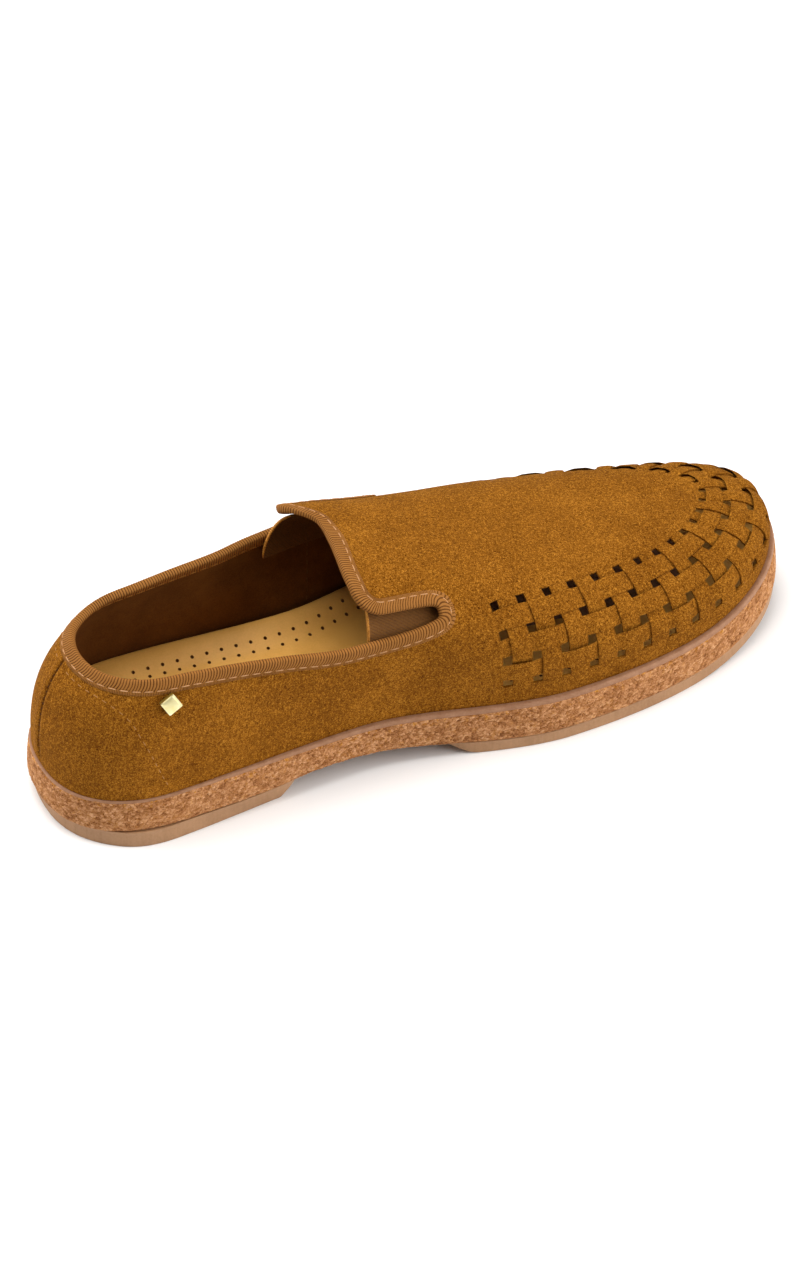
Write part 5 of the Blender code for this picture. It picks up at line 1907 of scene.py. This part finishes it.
def sew(name, lap, height, stitch, thread, creased=False):
    """Dashes of thread along a line of laps and heights."""
    level, *sizes = stitch
    part = part_at_height(lap, height)
    rise = creases(lap, skin(lap, part)) if creased else 0.0
    points, faces = stitches(lap, part, rise + level, *sizes)
    piece(name, points, faces, thread)


def make_sewing():
    lap, height = counter_line()
    front, high = np.linspace(*LINING_LAPS, LINING_POINTS), np.linspace(*LINING_HEIGHTS, LINING_POINTS)
    for name, side in (("lateral", 1), ("medial", -1)):
        sew(f"counter_stitches_{name}", side * lap, height, COUNTER_STITCH, SOFT_THREAD, creased=True)
        sew(f"lining_stitches_{name}", side * front, high, LINING_STITCH, LINING_THREAD)
    high = np.linspace(*HEEL_HEIGHTS, HEEL_POINTS)
    for name, away in (("outer", HEEL_AWAY), ("inner", -HEEL_AWAY)):
        sew(f"heel_seam_stitches_{name}", np.full(HEEL_POINTS, away), high, HEEL_STITCH, DARK_THREAD)


# Stage

CAMERA_AZIMUTH = -25.6
CAMERA_ELEVATION = 41.51
CAMERA_DISTANCE = 1800.0
CAMERA_TARGET = (140.0, 0.0, 24.0)
VIEW_WIDTH = 284.0
SENSOR = 36.0
# farthest distance that the camera sees, in metres
CLIP_END = 20.0


def make_camera():
    azimuth, elevation = math.radians(CAMERA_AZIMUTH), math.radians(CAMERA_ELEVATION)
    back = np.array([
        math.sin(azimuth) * math.cos(elevation),
        -math.cos(azimuth) * math.cos(elevation),
        math.sin(elevation),
    ])
    lens = bpy.data.cameras.new("camera")
    lens.sensor_fit = "HORIZONTAL"
    lens.sensor_width = SENSOR
    lens.lens = SENSOR * CAMERA_DISTANCE / VIEW_WIDTH
    lens.clip_end = CLIP_END
    camera = bpy.data.objects.new("camera", lens)
    camera.location = place(np.array(CAMERA_TARGET) + back * CAMERA_DISTANCE)
    camera.rotation_euler = (math.pi / 2 - elevation, 0.0, azimuth)
    bpy.context.scene.collection.objects.link(camera)
    bpy.context.scene.camera = camera


# name, place in metres, width, power in watts, colour
LIGHTS = (
    ("key", (-0.30, 0.2, 1.75), 1.5, 34.0, (1.0, 0.99, 0.97)),
    ("left", (-1.12, 1.0, 0.72), 1.0, 17.0, (1.0, 1.0, 1.0)),
    ("right", (1.4, -1.0, 0.9), 2.0, 42.0, (1.0, 0.995, 0.985)),
)
SKY_STRENGTH = 0.16
FLOOR_REACH = 6.0


def make_stage():
    floor_mesh = bpy.data.meshes.new("floor")
    corners = [(x * FLOOR_REACH, y * FLOOR_REACH, 0.0) for x, y in ((-1, -1), (1, -1), (1, 1), (-1, 1))]
    floor_mesh.from_pydata(corners, [], [(0, 1, 2, 3)])
    floor_mesh.materials.append(floor_paint())
    floor = bpy.data.objects.new("floor", floor_mesh)
    bpy.context.scene.collection.objects.link(floor)
    for name, at, width, power, colour in LIGHTS:
        lamp = bpy.data.lights.new(name, "AREA")
        lamp.shape = "DISK"
        lamp.size = width
        lamp.energy = power
        lamp.color = colour
        item = bpy.data.objects.new(name, lamp)
        item.location = at
        direction = -np.array(at)
        flat = math.hypot(direction[0], direction[1])
        item.rotation_euler = (math.atan2(flat, -direction[2]), 0.0, math.atan2(-direction[0], direction[1]))
        bpy.context.scene.collection.objects.link(item)
    world = bpy.data.worlds.new("studio")
    world.use_nodes = True
    sky = world.node_tree.nodes["Background"]
    sky.inputs["Color"].default_value = (1.0, 1.0, 1.0, 1.0)
    sky.inputs["Strength"].default_value = SKY_STRENGTH
    bpy.context.scene.world = world
    bpy.context.scene.view_settings.view_transform = "Standard"


make_camera()
make_stage()
make_suede()
make_lining()
make_weave()
make_binding()
make_binding_stitches()
make_gores()
make_midsole()
make_band()
make_outsole()
make_insole()
make_badge()
make_fastener()
make_sewing()
